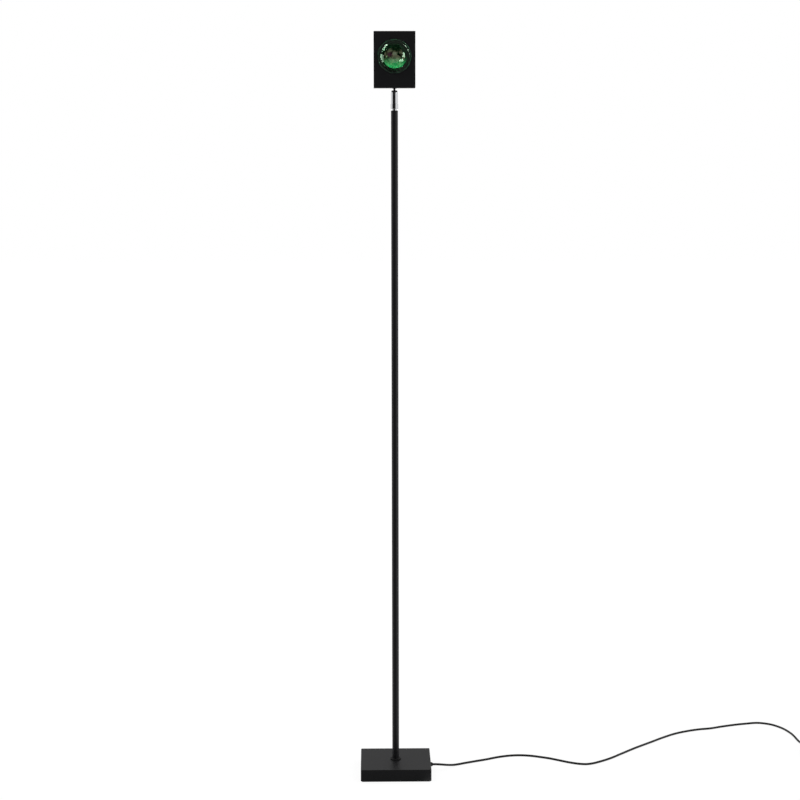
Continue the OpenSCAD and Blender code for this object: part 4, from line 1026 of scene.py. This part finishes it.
class SUNSETLAMP_OT_plug(LampOperator):
    """Shape the flat plug with its grip, its pins and its ribbed relief, and the tie round the coil"""
    bl_idname = "sunset_lamp.plug"
    bl_label = "Shape Plug"

    def execute(self, context):
        x = middle("plug_body")[0]
        (_, face, _), (right, back, top) = ends("plug_body")
        half, neck, shoulder, nose, slant = right - x, 7.5 * MM, back - 20 * MM, 3 * MM, 2 * MM
        steps = 6

        def outline(i, z):
            """The plug from above at one height, its sides moved in by i."""
            side = [(neck - i, back - i, 1.5 * MM), (half - i, shoulder, 6 * MM),
                    (half - i, face + nose + i, 1.2 * MM), (half - i - slant, face + i, 1.2 * MM)]
            loop = rounded(side + [(-x, y, r) for x, y, r in side[::-1]], steps)
            return np.column_stack([loop, np.full(len(loop), z)])

        height = 3 * MM
        curve = rounding(2 * MM, height, steps)
        # The grip is a shallow panel in both flat sides, of (inset, depth)
        grip = [(4.6 * MM, 0), (5.0 * MM, 0.12 * MM), (5.4 * MM, 0.5 * MM), (5.8 * MM, 0.6 * MM)]
        rows = [outline(i, d) for i, d in grip[::-1]]
        rows += [outline(i, height - h) for i, h in curve[::-1]]
        rows += [outline(i, top - height + h) for i, h in curve]
        rows += [outline(i, top - d) for i, d in grip]
        rows = np.stack(rows) + np.array([x, 0, 0])
        whole = np.arange(rows.shape[1])[None]
        make_piece("plug", "stand", "black_abs", "plug_body", grid(rows), (rows[0], whole),
                   (rows[-1], whole))

        tip, root, z = low("plug_pins")[1], high("plug_pins")[1], middle("plug_pins")[2]
        pin_r, root_r, sleeve_r, apart, fine = 2 * MM, 1.5 * MM, 1.88 * MM, 9.3 * MM, 0.1 * MM
        pin = rounded([(0, tip, 0), (pin_r, tip, 1.2 * MM), (pin_r, face - 10 * MM, fine),
                       (sleeve_r, face - 9.9 * MM, 0), (sleeve_r, face - 9.7 * MM, 0),
                       (pin_r, face - 9.6 * MM, fine), (pin_r, face - 0.5 * MM, fine),
                       (root_r, face - 0.5 * MM, 0), (root_r, root, 0), (0, root, 0)], 6, closed=False)
        pins = make_piece("plug_pins_sleeved", "stand", "zinc_steel", "plug_pins",
                          *(turned(pin, (x + s * apart, 0, z), "y", closed=False, steps=48)
                            for s in (-1, 1)))
        paint(pins, "black_abs", lambda centres: centres[:, 1] > face - 9.8 * MM)

        thick, thin, bore = 4.75 * MM, 3.2 * MM, sizes().cord_diameter / 2 + 0.02 * MM
        far = high("plug_relief")[1]
        pitch, cut, depth, bevel = 3.4 * MM, 1.3 * MM, 1.1 * MM, 0.15 * MM
        ribs = [(bore, back, 0), (thick, back, 0)]
        for k in range(5):
            start = back + 3.2 * MM + k * pitch
            for y, d in ((start, 0), (start + bevel, depth), (start + cut, depth), (start + cut + bevel, 0)):
                ribs.append((thick + (thin - thick) * (y - back) / (far - back) - d * (1 - 0.1 * k), y,
                             0.12 * MM))
        ribs += [(thin, far, 0.5 * MM), (bore, far, 0)]
        make_piece("ribbed_relief", "stand", "cord_pvc", "plug_relief",
                   turned(rounded(ribs, 4), (x, 0, PLUG_CORD_Z), "y", steps=64), crease=50)

        tie_low, tie_high = ends("cord_tie")
        mid_x, _, mid_z = middle("cord_tie")
        half_x, half_z = tie_high[0] - mid_x, tie_high[2] - mid_z
        t, e, r = 0.5 * MM, 0.12 * MM, 2.4 * MM

        def strap(i, y):
            """Loop of the strap's section, moved in by i, at one depth."""
            loop = stacked_loops([(half_x - i, half_z - i, r - i, 0)], (mid_x, mid_z), 8)[0]
            return np.column_stack([loop[:, 0], np.full(len(loop), y), loop[:, 1]])

        near, far = tie_low[1], tie_high[1]
        loops = [strap(t, near), strap(e, near), strap(0, near + e), strap(0, far - e), strap(e, far),
                 strap(t, far)]
        make_piece("strap", "stand", "foam_pad", "cord_tie", grid(np.stack(loops), wrap_rows=True),
                   finish="tape")
        return {"FINISHED"}


class SUNSETLAMP_OT_frame_finishes(LampOperator):
    """Give every frame node its finish"""
    bl_idname = "sunset_lamp.frame_finishes"
    bl_label = "Finish Frame"

    def execute(self, context):
        slots = {part["node"]: part["material_slot"] for part in frame["record"]["subparts"]}
        for name, node in frame["nodes"].items():
            material = finishes()[slots[name]]
            if not node.material_slots:
                node.data.materials.append(material)
            for place in node.material_slots:
                place.material = material
        return {"FINISHED"}


# ---------------------------------------------------------------- the studio

# What a mirror meets where the dark screens stand, and the share of the pale room that coated glass keeps
DARK_ROOM, DARK_FLOOR, BLOOMED = 0.02, 0.12, 0.3
# A little over 1 makes up for what the floor's matt share lacks of white
PALE_ROOM, PALE_FLOOR = 1.0, 1.03
# Bright panels that only glass shows: azimuth, elevation, half width, half height in degrees, and radiance
PANELS = [(-62, -8, 8, 16, 6.0), (46, 6, 6, 10, 14.0), (36, -18, 9, 6, 14.0), (-43, 33, 2.5, 3, 4.0)]
# Reach in degrees and radiance of a round one straight ahead
DISC_REACH, DISC_LIGHT = 18.5, 2.2
# Lamps: azimuth, elevation, distance, width, height and radiance
SOFTBOXES = {"left_box": (-62, 46, 2.0, 0.34, 0.7, 14.0), "right_box": (76, 28, 2.0, 0.14, 1.5, 7.0),
             "back_box": (140, 35, 2.5, 0.8, 0.8, 3.0)}


def azimuth_of(tree, way):
    """The X, Y and Z outputs of a direction, and its azimuth, the arc tangent of X over -Y."""
    parts = add(tree, "SeparateXYZ", [way]).outputs
    ahead = add(tree, "Math", [parts["Y"], -1.0], operation="MULTIPLY")
    return parts, ahead, add(tree, "Math", [parts["X"], ahead], operation="ARCTAN2")


def dark_screens(tree, way):
    """Share of the dark screens that a direction meets, from 0 to 1: one in front, from 66 degrees left to
    36 degrees right, and a narrow one behind that fades out upwards."""
    parts, _, azimuth = azimuth_of(tree, way)
    screens = []
    # Azimuth of a screen's middle, where its edge fades along the azimuth, and where its top fades in Z
    for middle_at, edge, fade, shares in ((-15, (48, 54), (0.75, 0.92), (1.0, 0.0)),
                                          (0, (150, 164), (0.05, 0.9), (0.0, 1.0))):
        off = add(tree, "Math", [azimuth, radians(-middle_at)], operation="ADD")
        off = add(tree, "Math", [off], operation="ABSOLUTE")
        side = add(tree, "MapRange", {"Value": off, "From Min": radians(edge[0]),
                                      "From Max": radians(edge[1]), "To Min": shares[0],
                                      "To Max": shares[1]})
        top = add(tree, "MapRange", {"Value": parts["Z"], "From Min": fade[0], "From Max": fade[1],
                                     "To Min": 1.0, "To Max": 0.0})
        screens.append(add(tree, "Math", [side, top], operation="MULTIPLY"))
    return add(tree, "Math", screens, operation="MAXIMUM")


def bright_panels(tree, way):
    """Light that a direction meets on the panels, and on a round one straight ahead that grows brighter
    upwards."""
    parts, ahead, azimuth = azimuth_of(tree, add(tree, "VectorMath", [way], operation="NORMALIZE"))
    elevation = add(tree, "Math", [parts["Z"]], operation="ARCSINE")
    rise = add(tree, "MapRange", {"Value": parts["Z"], "From Min": 0.02, "From Max": 0.3,
                                  "To Max": DISC_LIGHT}, interpolation_type="SMOOTHSTEP")
    disc = add(tree, "Math", [ahead, cos(radians(DISC_REACH))], operation="GREATER_THAN")
    total = add(tree, "Math", [rise, disc], operation="MULTIPLY")
    for a, e, half_a, half_e, radiance in PANELS:
        across = add(tree, "Math", [azimuth, radians(a), radians(half_a)], operation="COMPARE")
        along = add(tree, "Math", [elevation, radians(e), radians(half_e)], operation="COMPARE")
        both = add(tree, "Math", [across, along], operation="MULTIPLY")
        total = add(tree, "Math", [both, radiance, total], operation="MULTIPLY_ADD")
    return total


def pale_light(tree, way, from_lens, pale, dark):
    """Light of the floor or the room in one direction, and 1 for the rays that show it white: the camera's,
    and those that metal or glass sends on. For other rays it is the room's ambient light. Metal and glass
    also show the dark screens. The lens's bloom kills most of the room's reflection, so glass shows less of
    it than chrome, and the bright panels besides."""
    path = add(tree, "LightPath").outputs
    sent = add(tree, "Math", [path["Is Glossy Ray"], path["Is Transmission Ray"]], operation="MAXIMUM")
    mirror = add(tree, "Math", [sent, path["Diffuse Depth"]], operation="SUBTRACT", use_clamp=True)
    glass = add(tree, "Math", [path["Is Singular Ray"], mirror], operation="MULTIPLY")
    seen = add(tree, "Math", [mirror, path["Is Camera Ray"]], operation="MAXIMUM")
    strength = add(tree, "MapRange", {"Value": seen, "To Min": studio().ambient, "To Max": 1.0})
    kept = add(tree, "MapRange", {"Value": glass, "To Min": 1.0, "To Max": BLOOMED})
    screen = add(tree, "Math", [dark_screens(tree, way), mirror], operation="MULTIPLY")
    shade = add(tree, "MapRange", {"Value": screen, "To Min": pale, "To Max": dark})
    plain = add(tree, "Math", [strength, kept], operation="MULTIPLY")
    plain = add(tree, "Math", [plain, shade], operation="MULTIPLY")
    panels = add(tree, "Math", [bright_panels(tree, from_lens), glass], operation="MULTIPLY")
    return add(tree, "Math", [plain, panels], operation="MAXIMUM"), seen


class SUNSETLAMP_OT_stage(LampOperator):
    """Make the pale floor, the room's light and the softboxes"""
    bl_idname = "sunset_lamp.stage"
    bl_label = "Set Stage"

    def execute(self, context):
        self.floor(context)
        self.room(context)
        self.softboxes(context)
        context.scene.view_settings.view_transform = "Standard"
        return {"FINISHED"}

    def floor(self, context):
        """Large pale floor. It looks white to the camera, in metal and through glass, and its matt share,
        which keeps the object's shadow, fades out 2.5 m away."""
        reach = 20.0
        corners = np.array([[[-reach, y, 0], [reach, y, 0]] for y in (-reach, reach)])
        points, quads = grid(corners, wrap_columns=False)
        mesh = bpy.data.meshes.new("studio_floor")
        mesh.from_pydata(points.tolist(), [], quads.tolist())
        plane = bpy.data.objects.new("studio_floor", mesh)
        context.collection.objects.link(plane)
        material = bpy.data.materials.new("pale_floor")
        material.use_nodes = True
        tree = material.node_tree
        tree.nodes.clear()
        place = add(tree, "TexCoord").outputs["Object"]
        from_lens = add(tree, "VectorMath", [place, middle("lens").tolist()], operation="SUBTRACT")
        light, seen = pale_light(tree, place, from_lens, PALE_FLOOR, DARK_FLOOR)
        far = add(tree, "VectorMath", [place], operation="LENGTH")
        glow = add(tree, "MapRange", {"Value": far, "From Min": 0.8, "From Max": 2.5, "To Min": 0.88,
                                      "To Max": 1.0})
        share = add(tree, "Math", [seen, glow], operation="MULTIPLY")
        matt = add(tree, "BsdfDiffuse", {"Color": linear("#f4f4f4")})
        white = add(tree, "Emission", {"Strength": light})
        add(tree, "OutputMaterial", [add(tree, "MixShader", [share, matt, white])])
        mesh.materials.append(material)

    def room(self, context):
        """White all round, dimmer as a light than as seen."""
        world = bpy.data.worlds.new("pale_room")
        context.scene.world = world
        world.use_nodes = True
        tree = world.node_tree
        tree.nodes.clear()
        way = add(tree, "TexCoord").outputs["Generated"]
        light, _ = pale_light(tree, way, way, PALE_ROOM, DARK_ROOM)
        add(tree, "OutputWorld", [add(tree, "Background", {"Color": (1, 1, 1, 1), "Strength": light})])

    def softboxes(self, context):
        """Soft lamps that face the head. A lamp's power is its radiance times pi times its area."""
        head = Vector(middle("lens").tolist())
        for name, (azimuth, elevation, distance, width, height, radiance) in SOFTBOXES.items():
            a, e = radians(azimuth), radians(elevation)
            way = Vector((sin(a) * cos(e), -cos(a) * cos(e), sin(e)))
            data = bpy.data.lights.new(name, "AREA")
            data.shape = "RECTANGLE"
            data.size, data.size_y = width, height
            data.energy = studio().softbox * radiance * pi * width * height
            lamp = bpy.data.objects.new(name, data)
            lamp.location = head + way * distance
            lamp.rotation_euler = (-way).to_track_quat("-Z", "Y").to_euler()
            lamp.visible_camera = False
            context.collection.objects.link(lamp)


class SUNSETLAMP_PT_panel(bpy.types.Panel):
    """Sunset lamp panel"""
    bl_label = "Sunset Lamp"
    bl_space_type = "VIEW_3D"
    bl_region_type = "UI"
    bl_category = "Sunset Lamp"

    def draw(self, context):
        for group in (sizes(), colours(), studio()):
            box = self.layout.box()
            for name in group.__annotations__:
                box.prop(group, name)
        for step in STEPS:
            self.layout.operator(step.bl_idname)


GROUPS = {"sunset_lamp_sizes": SunsetLampSizes, "sunset_lamp_colours": SunsetLampColours,
          "sunset_lamp_studio": SunsetLampStudio}
# The cords come after the gland, the switch and the plug, which they name
STEPS = (SUNSETLAMP_OT_camera, SUNSETLAMP_OT_frame_finishes, SUNSETLAMP_OT_switch, SUNSETLAMP_OT_plug,
         SUNSETLAMP_OT_base, SUNSETLAMP_OT_pole, SUNSETLAMP_OT_cords, SUNSETLAMP_OT_swivel,
         SUNSETLAMP_OT_head, SUNSETLAMP_OT_lens, SUNSETLAMP_OT_stage)


def register():
    for item in (*GROUPS.values(), *STEPS, SUNSETLAMP_PT_panel):
        bpy.utils.register_class(item)
    for name, group in GROUPS.items():
        setattr(bpy.types.Scene, name, PointerProperty(type=group))


def unregister():
    for name in GROUPS:
        delattr(bpy.types.Scene, name)
    for item in reversed((*GROUPS.values(), *STEPS, SUNSETLAMP_PT_panel)):
        bpy.utils.unregister_class(item)


def main():
    register()
    for step in STEPS:
        space, name = step.bl_idname.split(".")
        getattr(getattr(bpy.ops, space), name)()


if __name__ == "__main__":
    main()
